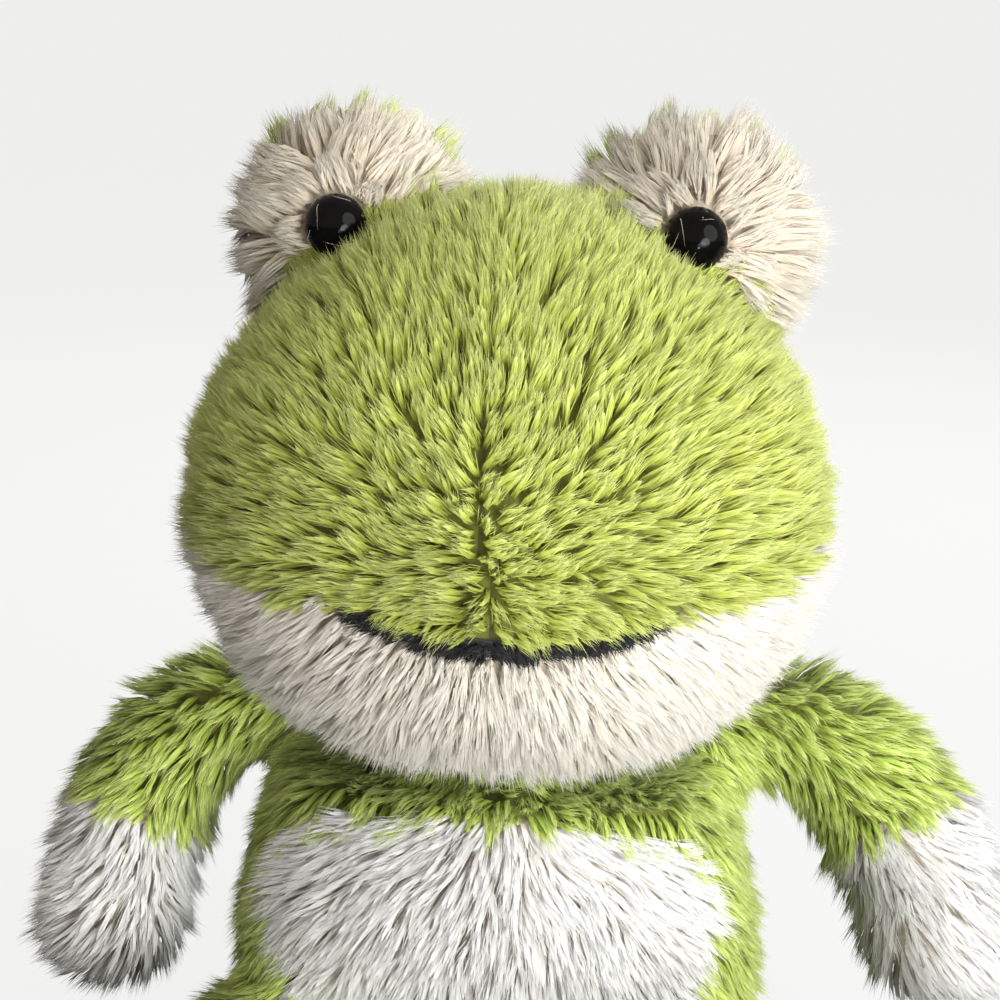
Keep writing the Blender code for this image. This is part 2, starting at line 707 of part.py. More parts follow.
def make_leg(name, side):
    """Green sleeve, white foot and their stuffing, cut flat where they rest."""
    limb = leg_limb(side)
    sleeve = trim(limb_object(f"leg_sleeve_{name}", limb), FLOOR)
    carve(sleeve, limb_object("leg_cavity", limb, inset=PLUSH, end=OVERRUN))
    core = limb_object(f"leg_stuffing_{name}", limb, inset=PLUSH + SEWN_GAP)

    form = foot_form(side)
    ankle = limb_object("ankle_cutter", limb, inset=-SEWN_GAP, end=SEWN_GAP)
    foot = trim(form_object(f"foot_{name}", form, facets=SMALL_FACETS), FLOOR)
    carve(foot, form_object("foot_cavity", form, inset=PLUSH, facets=HOLLOW_FACETS))
    carve(foot, ankle, keep=True)
    foot_core = form_object(f"foot_stuffing_{name}", form, inset=PLUSH + SEWN_GAP, facets=HOLLOW_FACETS)
    carve(foot_core, ankle)
    return [finish(sleeve, GREEN), finish(core, FIBRE), finish(foot, WHITE), finish(foot_core, FIBRE)]


def main():
    for old in list(bpy.data.objects):
        bpy.data.objects.remove(old)
    torso = carrier("torso", (0.0, 0.0, 0.0))
    neck = carrier("neck", NECK_POINT, torso)
    head = carrier("head", NECK_POINT, neck)
    hang(torso, (0.0, 0.0, 0.0), *make_torso())
    neck_ball = ball_object("neck_stuffing", NECK_POINT, NECK_RADIUS)
    hang(neck, NECK_POINT, finish(neck_ball, FIBRE))
    hang(head, NECK_POINT, *make_head())
    for name, side in SIDES.items():
        raised = -RAISED_ARM if name == "left" else 0.0
        shoulder = carrier(f"arm_{name}", shoulder_point(side), torso, raised)
        hang(shoulder, shoulder_point(side), *make_arm(name, side))
        hip = carrier(f"leg_{name}", hip_point(side), torso)
        hang(hip, hip_point(side), *make_leg(name, side))


main()
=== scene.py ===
"""The looks of a sitting plush frog: long pile, glossy eyes and a felt mouth.

Laid out as a Blender add-on and run as a script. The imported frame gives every
place. Each panel of cloth is cut from one smooth form round its body of the
frog, and its pile grows from the panel, strand by strand, in tufts. Lengths
are in metres, +Z is up and the frog looks along -Y.
"""

import json
import math
from dataclasses import dataclass

import bmesh
import bpy
import numpy as np
from bpy.props import FloatProperty, FloatVectorProperty, IntProperty, PointerProperty
from mathutils import Matrix, Vector, noise
from mathutils.bvhtree import BVHTree
from mathutils.kdtree import KDTree


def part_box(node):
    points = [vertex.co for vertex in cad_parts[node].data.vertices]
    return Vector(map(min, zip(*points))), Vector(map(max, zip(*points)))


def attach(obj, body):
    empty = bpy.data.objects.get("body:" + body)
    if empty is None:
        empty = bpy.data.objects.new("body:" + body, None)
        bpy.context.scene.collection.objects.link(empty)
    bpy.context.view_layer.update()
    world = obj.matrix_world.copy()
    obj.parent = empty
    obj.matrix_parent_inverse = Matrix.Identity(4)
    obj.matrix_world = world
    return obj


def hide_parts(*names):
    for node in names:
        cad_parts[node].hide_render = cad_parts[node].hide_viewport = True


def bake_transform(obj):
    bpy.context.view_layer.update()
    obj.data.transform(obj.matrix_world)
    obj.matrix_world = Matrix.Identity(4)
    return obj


bl_info = {
    "name": "Plush Frog Looks",
    "version": (1, 0, 0),
    "blender": (4, 5, 0),
    "location": "View3D > Sidebar > Frog",
    "description": "Dresses a sitting plush frog in long pile, with glossy eyes and a felt mouth",
    "category": "Add Mesh",
}

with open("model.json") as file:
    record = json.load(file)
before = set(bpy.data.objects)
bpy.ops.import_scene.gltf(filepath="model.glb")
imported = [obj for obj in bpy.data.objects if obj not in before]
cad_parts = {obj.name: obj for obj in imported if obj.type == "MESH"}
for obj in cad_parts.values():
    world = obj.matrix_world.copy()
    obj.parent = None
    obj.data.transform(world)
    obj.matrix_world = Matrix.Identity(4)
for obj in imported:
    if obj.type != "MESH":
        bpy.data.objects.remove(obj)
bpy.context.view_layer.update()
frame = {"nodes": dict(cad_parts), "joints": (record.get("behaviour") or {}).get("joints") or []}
SIDES = {"left": 1.0, "right": -1.0}
DOWN = np.array((0.0, 0.0, -1.0))
MERGE_DISTANCE = 0.00001
TREES = {}
FINISHES = {}


def metres(name, text, default, **limits):
    """Property for a length in metres."""
    return FloatProperty(name=name, description=text, default=default, unit="LENGTH", **limits)


def degrees(name, text, default):
    """Property for an angle, given in degrees."""
    return FloatProperty(name=name, description=text, default=math.radians(default), subtype="ANGLE")


def fraction(name, text, default, high=1.0):
    """Property for a share."""
    return FloatProperty(name=name, description=text, default=default, min=0.0, max=high)


def watts(name, text, default):
    """Property for the power of a lamp."""
    return FloatProperty(name=name, description=text, default=default, unit="POWER")


def hue(name, text, default):
    """Property for a colour."""
    return FloatVectorProperty(name=name, description=text, default=default, subtype="COLOR")


class FrogCloth(bpy.types.PropertyGroup):
    """Sizes of the cloth and of its pile."""

    pile_depth: metres("Pile Depth", "How far the woven backing lies under the pile's outline",
                       0.0055, min=0.001, max=0.009)
    thickness: metres("Cloth Thickness", "Thickness of the woven backing", 0.0022, min=0.0005, max=0.004)
    grain: metres("Form Grain", "Size of the facets that a form is made from", 0.0028, min=0.001, max=0.006)
    tuft_spacing: metres("Tuft Spacing", "Distance between the tufts", 0.0024, min=0.001, max=0.01)
    tuft_width: metres("Tuft Width", "Width of a tuft's dense middle", 0.0015, min=0.0002, max=0.006)
    strand_width: metres("Strand Width", "Width of one loose strand", 0.00036, min=0.0001, max=0.003)
    strands: IntProperty(name="Loose Strands", description="Loose strands round the middle of each tuft",
                         default=12, min=0, max=24)
    fray: metres("Fray", "How far loose strands stray from their tuft's middle", 0.0010, min=0.0, max=0.004)
    clump_spacing: metres("Clump Spacing", "Distance between the clumps that tufts gather in",
                          0.0052, min=0.001, max=0.02)
    edge_rise: degrees("Edge Rise", "How much steeper the pile stands at a seam", 18.0)
    edge_crowd: fraction("Edge Crowd", "Share of tufts added at a seam", 0.35, high=2.0)
    softness: fraction("Softness", "Share by which the pile is lit as the cloth under it", 0.80)
    white_softness: fraction("White Softness", "The same share for the white pile", 0.90)
    seed: IntProperty(name="Seed", description="Start of the pile's random numbers", default=7)


class FrogColours(bpy.types.PropertyGroup):
    """Colours of the plush."""

    eye: hue("Eye", "Black of the domed eyes", (0.002, 0.002, 0.002))
    felt: hue("Felt", "Black of the mouth's felt", (0.012, 0.012, 0.013))
    fibre: hue("Stuffing", "White of the fibre stuffing", (0.86, 0.86, 0.84))
    pouch: hue("Pouch", "Cotton of the weighted pouch", (0.72, 0.68, 0.60))


SHADES = ("root", "middle", "tip")
# Colours of each pile from root to tip: the dark root is painted shade deep in the pile between the tufts,
# the middle is the pile's own colour and the pale tip is painted light shining through the tips.
PILE_COLOURS_WITH_PAINTED_SHADE_AND_LIGHT = {
    "face": ("Green of the head", (0.230, 0.250, 0.030), (0.490, 0.570, 0.095), (0.780, 0.860, 0.300)),
    "body": ("Green of body and limbs", (0.190, 0.245, 0.032), (0.480, 0.620, 0.105), (0.780, 0.890, 0.310)),
    "white": ("White of the jaw", (0.790, 0.700, 0.570), (0.850, 0.800, 0.700), (0.900, 0.870, 0.795)),
    # The mounds' white is a darker, warmer copy of the jaw's white: painted shade over the mounds.
    "mound": ("White of the mounds", (0.660, 0.550, 0.410), (0.720, 0.645, 0.520), (0.775, 0.730, 0.625)),
    "tummy": ("Cooler white", (0.700, 0.655, 0.580), (0.740, 0.740, 0.725), (0.775, 0.775, 0.765)),
}
# Each colour becomes a setting: the root settings carry painted shade and the tip settings carry painted
# light.
for part_name, (told, *tints) in PILE_COLOURS_WITH_PAINTED_SHADE_AND_LIGHT.items():
    for shade_name, tint_value in zip(SHADES, tints):
        FrogColours.__annotations__[f"{part_name}_{shade_name}"] = hue(
            f"{part_name} {shade_name}".title(), f"{told} at the {shade_name} of the strands", tint_value)


class FrogFace(bpy.types.PropertyGroup):
    """Sizes of the eyes and the mouth."""

    eye_lift: degrees("Eye Lift", "How far the eyes look up", 9.0)
    eye_dome: metres("Eye Dome", "Height of an eye's dome over its rim", 0.0065)
    eye_rim: metres("Eye Rim", "Thickness of the rim under the dome", 0.001)
    shank_radius: metres("Shank Radius", "Radius of the shank that passes through the cloth", 0.002)
    wisps: IntProperty(name="Wisps", description="Long hairs that lie across each eye", default=6)
    mouth_tilt: degrees("Mouth Tilt", "How far the mouth's plane rises to the back", 11.0)
    mouth_sag: metres("Mouth Sag", "How far the middle of the mouth hangs below its corners", 0.0070)
    crown_shift: metres("Crown Shift", "How far the green reaches forward over the eye mounds", 0.0050)
    mouth_rise: metres("Mouth Rise", "How far the felt's corners lie above those of the frame", 0.0040)
    lip_gap: metres("Lip Gap", "Height of the black felt between the lips", 0.0034)
    mouth_width: metres("Mouth Width", "Width of the black felt", 0.068)
    mouth_side: metres("Mouth Side", "How far the mouth's middle lies to the frog's left", 0.0040)
    felt_depth: metres("Felt Depth", "Thickness of the felt", 0.0034)


class FrogStage(bpy.types.PropertyGroup):
    """Floor, lights and camera."""

    floor_size: metres("Floor Size", "Side of the floor", 30.0)
    floor_share: fraction("Floor Share", "Share of its colour that the floor takes from the lights", 0.10)
    paper: hue("Paper", "Pale colour of floor and background", (0.86, 0.86, 0.85))
    ambient_tint: hue("Ambient Tint", "Colour of the light from all round", (1.0, 0.94, 0.86))
    ambient: FloatProperty(name="Ambient", description="Light from all round", default=0.58)
    key_power: watts("Key Power", "Large lamp on the frog's left", 37.0)
    fill_power: watts("Fill Power", "Low lamp in front of the frog", 15.5)
    catch_power: watts("Catch Power", "Small lamp that the eyes mirror", 0.4)
    camera_distance: metres("Camera Distance", "From the camera to the middle of the face", 0.370)
    camera_height: degrees("Camera Elevation", "How far the camera looks down", 14.0)
    camera_side: degrees("Camera Azimuth", "How far the camera stands to the frog's left", 4.0)
    camera_roll: degrees("Camera Roll", "How far the camera leans", 1.8)
    lens: FloatProperty(name="Lens", description="Focal length in mm on a 36 mm sensor", default=54.0)


def unit(vectors):
    """Vectors at length one."""
    return vectors / np.maximum(np.linalg.norm(vectors, axis=-1, keepdims=True), 1e-9)


def smooth_step(values, low, high):
    """Zero below low, one above high, and smooth between them."""
    share = np.clip((values - low) / (high - low), 0.0, 1.0)
    return share * share * (3.0 - 2.0 * share)


def only(piece):
    """Select one object alone."""
    bpy.ops.object.select_all(action="DESELECT")
    piece.select_set(True)
    bpy.context.view_layer.objects.active = piece


def edit(piece):
    """Open a piece in edit mode with all of it selected."""
    only(piece)
    bpy.ops.object.mode_set(mode="EDIT")
    bpy.ops.mesh.select_all(action="SELECT")


def close_edit():
    """Back to object mode."""
    bpy.ops.object.mode_set(mode="OBJECT")


def put_on(piece, kind, **values):
    """Add a modifier to a piece and apply it."""
    only(piece)
    modifier = piece.modifiers.new(kind.lower(), kind)
    for name, value in values.items():
        setattr(modifier, name, value)
    bpy.ops.object.modifier_apply(modifier=modifier.name)


def node_copy(node):
    """Copy of a node of the frame, with its loose triangles merged."""
    twin = object_of(f"{node}_copy", frame["nodes"][node].data.copy())
    edit(twin)
    bpy.ops.mesh.remove_doubles(threshold=MERGE_DISTANCE)
    close_edit()
    return twin


def object_of(name, mesh):
    """Object made from a mesh."""
    piece = bpy.data.objects.new(name, mesh)
    bpy.context.scene.collection.objects.link(piece)
    return piece


def drop(piece):
    """Remove an object and its mesh."""
    mesh = piece.data
    bpy.data.objects.remove(piece)
    bpy.data.meshes.remove(mesh)


def joint_point(name):
    """Place of a joint of the frame."""
    return Vector(next(joint["pos_m"] for joint in frame["joints"] if joint["name"] == name))


def mound_ball(side_name):
    """Centre and radius of an eye mound."""
    front_low, front_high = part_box(f"mound_front_{side_name}")
    _, back_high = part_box(f"mound_back_{side_name}")
    radius = (front_high.x - front_low.x) / 2
    x = (front_low.x + front_high.x) / 2
    return Vector((x, back_high.y - radius, front_high.z - radius)), radius


def eye_place(side_name):
    """Middle of the flat back of an eye's dome, and the way that the eye looks."""
    face = bpy.context.scene.frog_face
    way = Vector((0.0, -math.cos(face.eye_lift), math.sin(face.eye_lift)))
    tip = max((vert.co for vert in frame["nodes"][f"eye_{side_name}"].data.vertices), key=way.dot)
    return tip - way * (face.eye_dome + face.eye_rim), way


CORNER_THINNING = 0.55
CORNER_REACH = 0.56


def mouth_place():
    """Middle of the lower lip's edge and the upward way across the mouth."""
    tilt = bpy.context.scene.frog_face.mouth_tilt
    low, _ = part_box("mouth_lining")
    return Vector((0.0, low.y, low.z)), Vector((0.0, -math.sin(tilt), math.cos(tilt)))


def mouth_warp(places, back=False):
    """Places of the face where a sagging mouth with thin corners lies straight and even, or back again."""
    lip, lip_up = (np.array(item) for item in mouth_place())
    share, fall = lip_fall(places)
    sag = np.zeros_like(places)
    sag[:, 2] = fall
    even = 1.0 - CORNER_THINNING * share
    if back:
        height = (places - lip) @ lip_up
        return places + ((even - 1.0) * height)[:, None] * lip_up - sag
    height = (places + sag - lip) @ lip_up
    return places + sag + ((1.0 / even - 1.0) * height)[:, None] * lip_up


def lip_fall(places):
    """Share of the way from the mouth's middle to its corners, and how far the lips hang."""
    face = bpy.context.scene.frog_face
    reach = CORNER_REACH * face.mouth_width
    share = np.clip((places[:, 0] - face.mouth_side) / reach, -1.0, 1.0) ** 2
    front = smooth_step(-places[:, 1], 0.0, 0.030)
    return share, (face.mouth_sag * (1.0 - share) - face.mouth_rise) * front


def lip_height(places):
    """Height of places over the edge of the lower lip, with the mouth laid straight."""
    lip, lip_up = (np.array(item) for item in mouth_place())
    return (mouth_warp(places) - lip) @ lip_up


def lip_sag(places):
    """Places of the head, moved so that the lips hang and the green reaches further over the mounds."""
    raised = places.copy()
    raised[:, 2] += lip_fall(places)[1]
    crown = bpy.context.scene.frog_face.crown_shift
    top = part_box("mound_front_left")[1].z
    raised[:, 1] += crown * smooth_step(places[:, 2], top - 0.026, top - 0.008)
    return raised


def places_of(mesh):
    """Places of a mesh's vertices."""
    places = np.empty(len(mesh.vertices) * 3)
    mesh.vertices.foreach_get("co", places)
    return places.reshape(-1, 3)


def warp_piece(piece, back=False):
    """Warp a piece's vertices by its mouth."""
    places = mouth_warp(places_of(piece.data), back)
    piece.data.vertices.foreach_set("co", places.ravel())
    piece.data.update()


def make_form(name, nodes, balls, inset):
    """Smooth closed form round several pieces of the frame, moved inwards by the inset."""
    cloth = bpy.context.scene.frog_cloth
    parts = [node_copy(node) for node in nodes]
    for centre, radius in balls:
        bpy.ops.mesh.primitive_ico_sphere_add(subdivisions=4, radius=radius, location=centre)
        parts.append(bpy.context.active_object)
    bpy.ops.object.select_all(action="DESELECT")
    for part in parts:
        part.select_set(True)
    bpy.context.view_layer.objects.active = parts[0]
    bpy.ops.object.join()
    form = parts[0]
    form.name = name
    swell = cloth.grain / 4
    put_on(form, "DISPLACE", strength=swell, mid_level=0.0)
    put_on(form, "REMESH", mode="VOXEL", voxel_size=cloth.grain)
    put_on(form, "SMOOTH", factor=0.5, iterations=14)
    put_on(form, "DISPLACE", strength=-inset - swell, mid_level=0.0)
    put_on(form, "SMOOTH", factor=0.5, iterations=4)
    return form


def tree_of(piece):
    """Search tree of a piece's faces."""
    verts = [vert.co.copy() for vert in piece.data.vertices]
    return BVHTree.FromPolygons(verts, [tuple(face.vertices) for face in piece.data.polygons])


def outside_torso(places):
    """Which places lie outside of the torso's form."""
    outside = np.ones(len(places), bool)
    for index, place in enumerate(places):
        spot, normal, _, _ = TREES["torso"].find_nearest(Vector(place))
        outside[index] = (Vector(place) - spot).dot(normal) >= 0.0
    return outside


OWNER_ROUNDS = 4


def cut_panels(form, nodes, warp=None):
    """Cut a form into open panels, each face going to the piece of the frame that it lies nearest."""
    trees = [tree_of(frame["nodes"][node]) for node in nodes]
    bm = bmesh.new()
    bm.from_mesh(form.data)
    bm.faces.ensure_lookup_table()
    owners = []
    middles = np.array([face.calc_center_median() for face in bm.faces])
    if warp is not None:
        middles = warp(middles)
    for middle in middles:
        distances = [tree.find_nearest(middle)[3] for tree in trees]
        owners.append(distances.index(min(distances)))
    for _ in range(OWNER_ROUNDS):
        for face in bm.faces:
            near = [other for edge in face.edges for other in edge.link_faces if other != face]
            around = [owners[other.index] for other in near]
            most = max(set(around), key=around.count)
            if around.count(most) >= 3:
                owners[face.index] = most
    panels = {}
    for number, node in enumerate(nodes):
        part = bm.copy()
        part.faces.ensure_lookup_table()
        others = [face for face in part.faces if owners[face.index] != number]
        bmesh.ops.delete(part, geom=others, context="FACES")
        mesh = bpy.data.meshes.new(f"{node}_cloth")
        part.to_mesh(mesh)
        part.free()
        panels[node] = object_of(f"{node}_cloth", mesh)
    bm.free()
    drop(form)
    return panels


@dataclass
class Pile:
    """How the pile of one panel grows. Trim, keep, rise and crowd give a value for each root."""

    finish: str
    length: float
    flow: object
    lift: tuple = (50.0, 16.0)
    spread: float = 0.32
    droop: float = 0.10
    share: float = 1.0
    width: float = 1.0
    gather: float = 0.35
    clump: float = 1.0
    trim: object = None
    keep: object = None
    rise: object = None
    crowd: object = None


class Strands:
    """Thin closed strands of pile, gathered for one mesh."""

    RING_ANGLES = np.radians((90.0, 210.0, 330.0))
    FLATNESS = 0.55
    UV_WIDTH = 0.022

    def __init__(self, softness):
        self.softness = softness
        self.points = []
        self.normals = []
        self.faces = []
        self.uvs = []
        self.count = 0

    def add(self, courses, fronts, widths, twists, tones, shares, profile):
        """Strands along courses of points, each with rings of three points and a closed tip."""
        number, steps = courses.shape[:2]
        ways = np.empty_like(courses)
        ways[:, :-1] = courses[:, 1:] - courses[:, :-1]
        ways[:, -1] = ways[:, -2]
        ways[:, 1:-1] = unit(ways[:, 1:-1]) + unit(ways[:, :-2])
        ways = unit(ways)
        across = unit(np.cross(ways, fronts[:, None, :]))
        over = np.cross(ways, across)
        cos, sin = np.cos(twists)[:, None, None], np.sin(twists)[:, None, None]
        across, over = across * cos + over * sin, over * cos - across * sin
        half = 0.5 * widths[:, None, None] * np.array(profile)[None, :, None]
        rings, outward = [], []
        for angle in self.RING_ANGLES:
            side = across[:, :-1] * math.cos(angle) + over[:, :-1] * (math.sin(angle) * self.FLATNESS)
            rings.append(courses[:, :-1] + side * half)
            outward.append(across[:, :-1] * math.cos(angle) + over[:, :-1] * math.sin(angle))
        rings = np.stack(rings, 2).reshape(number, -1, 3)
        points = np.concatenate((rings, courses[:, -1:]), 1)
        outward = np.concatenate((np.stack(outward, 2).reshape(number, -1, 3), ways[:, -1:]), 1)
        normals = outward * (1.0 - self.softness) + fronts[:, None, :] * self.softness
        self.normals.append(unit(normals).reshape(-1, 3))
        per_strand = points.shape[1]

        ring_uv = np.array((0.5, 0.0, 1.0)) * self.UV_WIDTH
        across_uv = np.concatenate((np.tile(ring_uv, steps - 1), [0.5 * self.UV_WIDTH]))
        along_uv = np.concatenate((np.repeat(shares[:-1], 3), [shares[-1]]))
        start = 0.01 + np.clip(tones, 0.0, 1.0) * (0.98 - self.UV_WIDTH)
        uv = np.stack((start[:, None] + across_uv[None], np.repeat(along_uv[None], number, 0)), 2)

        pattern = self.pattern(steps - 1)
        starts = self.count + np.arange(number) * per_strand
        self.faces.append((pattern[None] + starts[:, None, None]).reshape(-1, 3))
        self.points.append(points.reshape(-1, 3))
        self.uvs.append(uv.reshape(-1, 2))
        self.count += number * per_strand

    @staticmethod
    def pattern(rings):
        """Triangles of one strand."""
        faces = [(0, 2, 1)]
        for ring in range(rings - 1):
            for corner in range(3):
                low, low_next = 3 * ring + corner, 3 * ring + (corner + 1) % 3
                faces += [(low, low_next, low_next + 3), (low, low_next + 3, low + 3)]
        last = 3 * (rings - 1)
        faces += [(last + corner, last + (corner + 1) % 3, 3 * rings) for corner in range(3)]
        return np.array(faces)

    def piece(self, name):
        """Object of all the strands."""
        points = np.concatenate(self.points).astype(np.float32)
        points[:, 2] = np.maximum(points[:, 2], FLOOR_CLEARANCE)
        faces = np.concatenate(self.faces).astype(np.int32)
        uvs = np.concatenate(self.uvs).astype(np.float32)
        mesh = bpy.data.meshes.new(name)
        mesh.vertices.add(len(points))
        mesh.vertices.foreach_set("co", points.ravel())
        mesh.loops.add(faces.size)
        mesh.loops.foreach_set("vertex_index", faces.ravel())
        mesh.polygons.add(len(faces))
        mesh.polygons.foreach_set("loop_start", np.arange(0, faces.size, 3, dtype=np.int32))
        layer = mesh.uv_layers.new(name="OFBake")
        layer.data.foreach_set("uv", uvs[faces.ravel()].ravel())
        mesh.update(calc_edges=True)
        mesh.shade_smooth()
        mesh.normals_split_custom_set_from_vertices(np.concatenate(self.normals))
        return object_of(name, mesh)


TUFT_SHARES = (0.0, 0.38, 0.70, 0.88)
TUFT_PROFILE = (0.72, 1.0, 0.72)
STRAND_SHARES = (0.28, 1.0)
STRAND_PROFILE = (1.0,)
WISP_SHARES = (0.3, 0.7, 1.0)
WISP_PROFILE = (1.0, 0.8)
WISP_WIDTH = 0.00009
FLOOR_CLEARANCE = 0.0004
NEAR_FLOOR = 0.014
NEAR_NECK = 0.034
HIDDEN_BY_FLOOR = 0.65
HIDDEN_BY_NECK = 0.3
TRIES = 4.0
BROAD_NOISE = 70.0
FINE_NOISE = 200.0


def courses_of(roots, normals, ways, lengths, lifts, droop, shares):
    """Points along strands that leave the cloth steeply and then lie over."""
    points = [roots]
    first, last = lifts
    for start, end in zip(shares, shares[1:]):
        middle = (start + end) / 2
        angle = (first + (last - first) * middle)[:, None]
        step = unit(normals * np.sin(angle) + ways * np.cos(angle) + DOWN * (droop * middle * 2))
        points.append(points[-1] + step * lengths[:, None] * (end - start))
    return np.stack(points, 1)


def scatter(panel, density, rng):
    """Random places on a panel with their normals, at a density for each square metre."""
    mesh = panel.data
    mesh.calc_loop_triangles()
    corners = np.empty(len(mesh.loop_triangles) * 3, np.int32)
    mesh.loop_triangles.foreach_get("vertices", corners)
    corners = corners.reshape(-1, 3)
    places = places_of(mesh)
    normals = np.array([item.vector for item in mesh.vertex_normals])
    sides = places[corners]
    areas = 0.5 * np.linalg.norm(np.cross(sides[:, 1] - sides[:, 0], sides[:, 2] - sides[:, 0]), axis=1)
    counts = np.floor(areas * density + rng.random(len(areas))).astype(int)
    chosen = np.repeat(np.arange(len(areas)), counts)
    first, second = rng.random(len(chosen)), rng.random(len(chosen))
    beyond = first + second > 1.0
    first[beyond], second[beyond] = 1.0 - first[beyond], 1.0 - second[beyond]
    weights = np.stack((1.0 - first - second, first, second), 1)[:, :, None]
    return (sides[chosen] * weights).sum(1), unit((normals[corners[chosen]] * weights).sum(1))


def hidden_share(roots, normals):
    """Share of the strands that is left out where the floor or the neck hides them."""
    on_floor = (roots[:, 2] < NEAR_FLOOR) & (normals[:, 2] < -0.6)
    neck = np.array(joint_point("neck_turn"))
    on_neck = (np.linalg.norm(roots - neck, axis=1) < NEAR_NECK) & (np.abs(normals[:, 2]) > 0.6)
    return np.where(on_floor, HIDDEN_BY_FLOOR, np.where(on_neck, HIDDEN_BY_NECK, 0.0))


def grow(strands, panel, pile, rng):
    """Grow the pile of a panel: tufts that follow the panel's flow, each with loose strands round it."""
    cloth = bpy.context.scene.frog_cloth
    spacing = cloth.tuft_spacing * 1.0
    roots, normals = scatter(panel, TRIES * pile.share / spacing ** 2, rng)
    near_edge = 1.0 - smooth_step(edge_distances(panel, roots), 0.001, 0.007)
    crowd = 1.0 + cloth.edge_crowd * near_edge
    if pile.crowd is not None:
        crowd = crowd + pile.crowd(roots)
    even = spread_out(roots, 0.75 * spacing / np.sqrt(pile.share * crowd), rng)
    roots, normals, near_edge = roots[even], normals[even], near_edge[even]
    kept = rng.random(len(roots)) > hidden_share(roots, normals)
    if pile.keep is not None:
        kept &= pile.keep(roots)
    roots, normals, near_edge = roots[kept], normals[kept], near_edge[kept]
    number = len(roots)

    noise.seed_set(cloth.seed)
    broad, fine = (np.array([noise.noise_vector(Vector(place) * scale) for place in roots])
                   for scale in (BROAD_NOISE, FINE_NOISE))
    flow = unit(pile.flow(roots))
    ways = unit(flow - normals * (flow * normals).sum(1, keepdims=True))
    ways = ways + broad * pile.spread * 1.8 + fine * pile.spread * 1.4 + rng.normal(0.0, 0.10, (number, 3))
    ways = unit(ways - normals * (ways * normals).sum(1, keepdims=True))
    lengths = pile.length * (1.0 + 0.16 * fine[:, 0] + rng.normal(0.0, 0.07, number))
    if pile.trim is not None:
        lengths = lengths * pile.trim(roots)
    shift = np.radians(16.0 * fine[:, 1] + 10.0 * broad[:, 1] + rng.normal(0.0, 4.0, number))
    rise = cloth.edge_rise * near_edge
    if pile.rise is not None:
        rise = rise + np.radians(pile.rise(roots))
    tones = 0.5 + 0.30 * fine[:, 2] + 0.20 * broad[:, 2] + rng.normal(0.0, 0.08, number)

    first, last = (math.radians(angle) for angle in pile.lift)
    lifts = (first + shift + rise, last + shift + 0.3 * rise)
    middles = courses_of(roots, normals, ways, lengths, lifts, pile.droop, TUFT_SHARES)
    heads = spread_out(roots, np.full(number, 0.80 * cloth.clump_spacing * pile.clump), rng)
    leader = heads[nearest_of(roots, roots[heads])]
    middles += (middles[leader] - middles) * pile.gather * np.array(TUFT_SHARES)[None, :, None] ** 1.5
    middles[:, 0] -= normals * cloth.thickness / 3
    coarse = spacing / cloth.tuft_spacing
    widths = cloth.tuft_width * pile.width * coarse * rng.uniform(0.7, 1.3, number)
    widths *= np.clip(lengths / pile.length, 0.7, 1.0)
    strands.add(middles, normals, widths, rng.normal(0.0, 0.35, number), tones, TUFT_SHARES, TUFT_PROFILE)

    owner = np.repeat(np.arange(number), cloth.strands)
    amount = len(owner)
    courses = middles[owner]
    side = np.cross(ways, normals)[owner]
    stray = side * rng.normal(0.0, cloth.fray, (amount, 1))
    stray += normals[owner] * rng.normal(cloth.fray / 3, cloth.fray / 2, (amount, 1))
    starts = points_at(courses, TUFT_SHARES, rng.uniform(0.05, 0.50, amount)) + stray * 0.4
    ends = points_at(courses, TUFT_SHARES, rng.uniform(0.84, 1.16, amount)) + stray
    ends += rng.normal(0.0, cloth.fray / 2, (amount, 3))
    widths = cloth.strand_width * coarse * rng.uniform(0.7, 1.3, amount)
    strands.add(np.stack((starts, ends), 1), normals[owner], widths, rng.uniform(-0.9, 0.9, amount),
                tones[owner] + rng.normal(0.0, 0.10, amount), STRAND_SHARES, STRAND_PROFILE)


def tree_at(places):
    """Search tree of places, each with its number."""
    tree = KDTree(len(places))
    for number, place in enumerate(places):
        tree.insert(place, number)
    tree.balance()
    return tree


def edge_distances(panel, places):
    """Distance of each place from the panel's open edge."""
    mesh = panel.data
    edges = np.empty(len(mesh.loops), np.int32)
    mesh.loops.foreach_get("edge_index", edges)
    uses = np.bincount(edges, minlength=len(mesh.edges))
    rim = [edge.vertices[0] for edge, use in zip(mesh.edges, uses) if use == 1]
    if not rim:
        return np.full(len(places), 1.0)
    tree = tree_at([mesh.vertices[vertex].co for vertex in rim])
    return np.array([tree.find(place)[2] for place in places])


def spread_out(places, gaps, rng):
    """Numbers of the places that stay when each keeps its own gap free of later ones."""
    tree = tree_at(places)
    free = np.ones(len(places), bool)
    kept = []
    for number in rng.permutation(len(places)):
        if free[number]:
            kept.append(number)
            for _, other, _ in tree.find_range(places[number], gaps[number]):
                free[other] = False
    return np.array(kept)


def nearest_of(places, centres):
    """Number of the nearest centre for each place."""
    tree = tree_at(centres)
    return np.array([tree.find(place)[1] for place in places])


def points_at(courses, shares, places):
    """Point of each course at its own share of the way, past the end too."""
    shares = np.array(shares)
    step = np.clip(np.searchsorted(shares, places, side="right") - 1, 0, len(shares) - 2)
    rest = ((places - shares[step]) / (shares[step + 1] - shares[step]))[:, None]
    rows = np.arange(len(courses))
    return courses[rows, step] * (1.0 - rest) + courses[rows, step + 1] * rest


def away_from(point, lean=(0.0, 0.0, 0.0)):
    """Flow that leads away from a point, with a steady lean."""
    point, lean = np.array(point), np.array(lean)
    return lambda places: unit(places - point) + lean


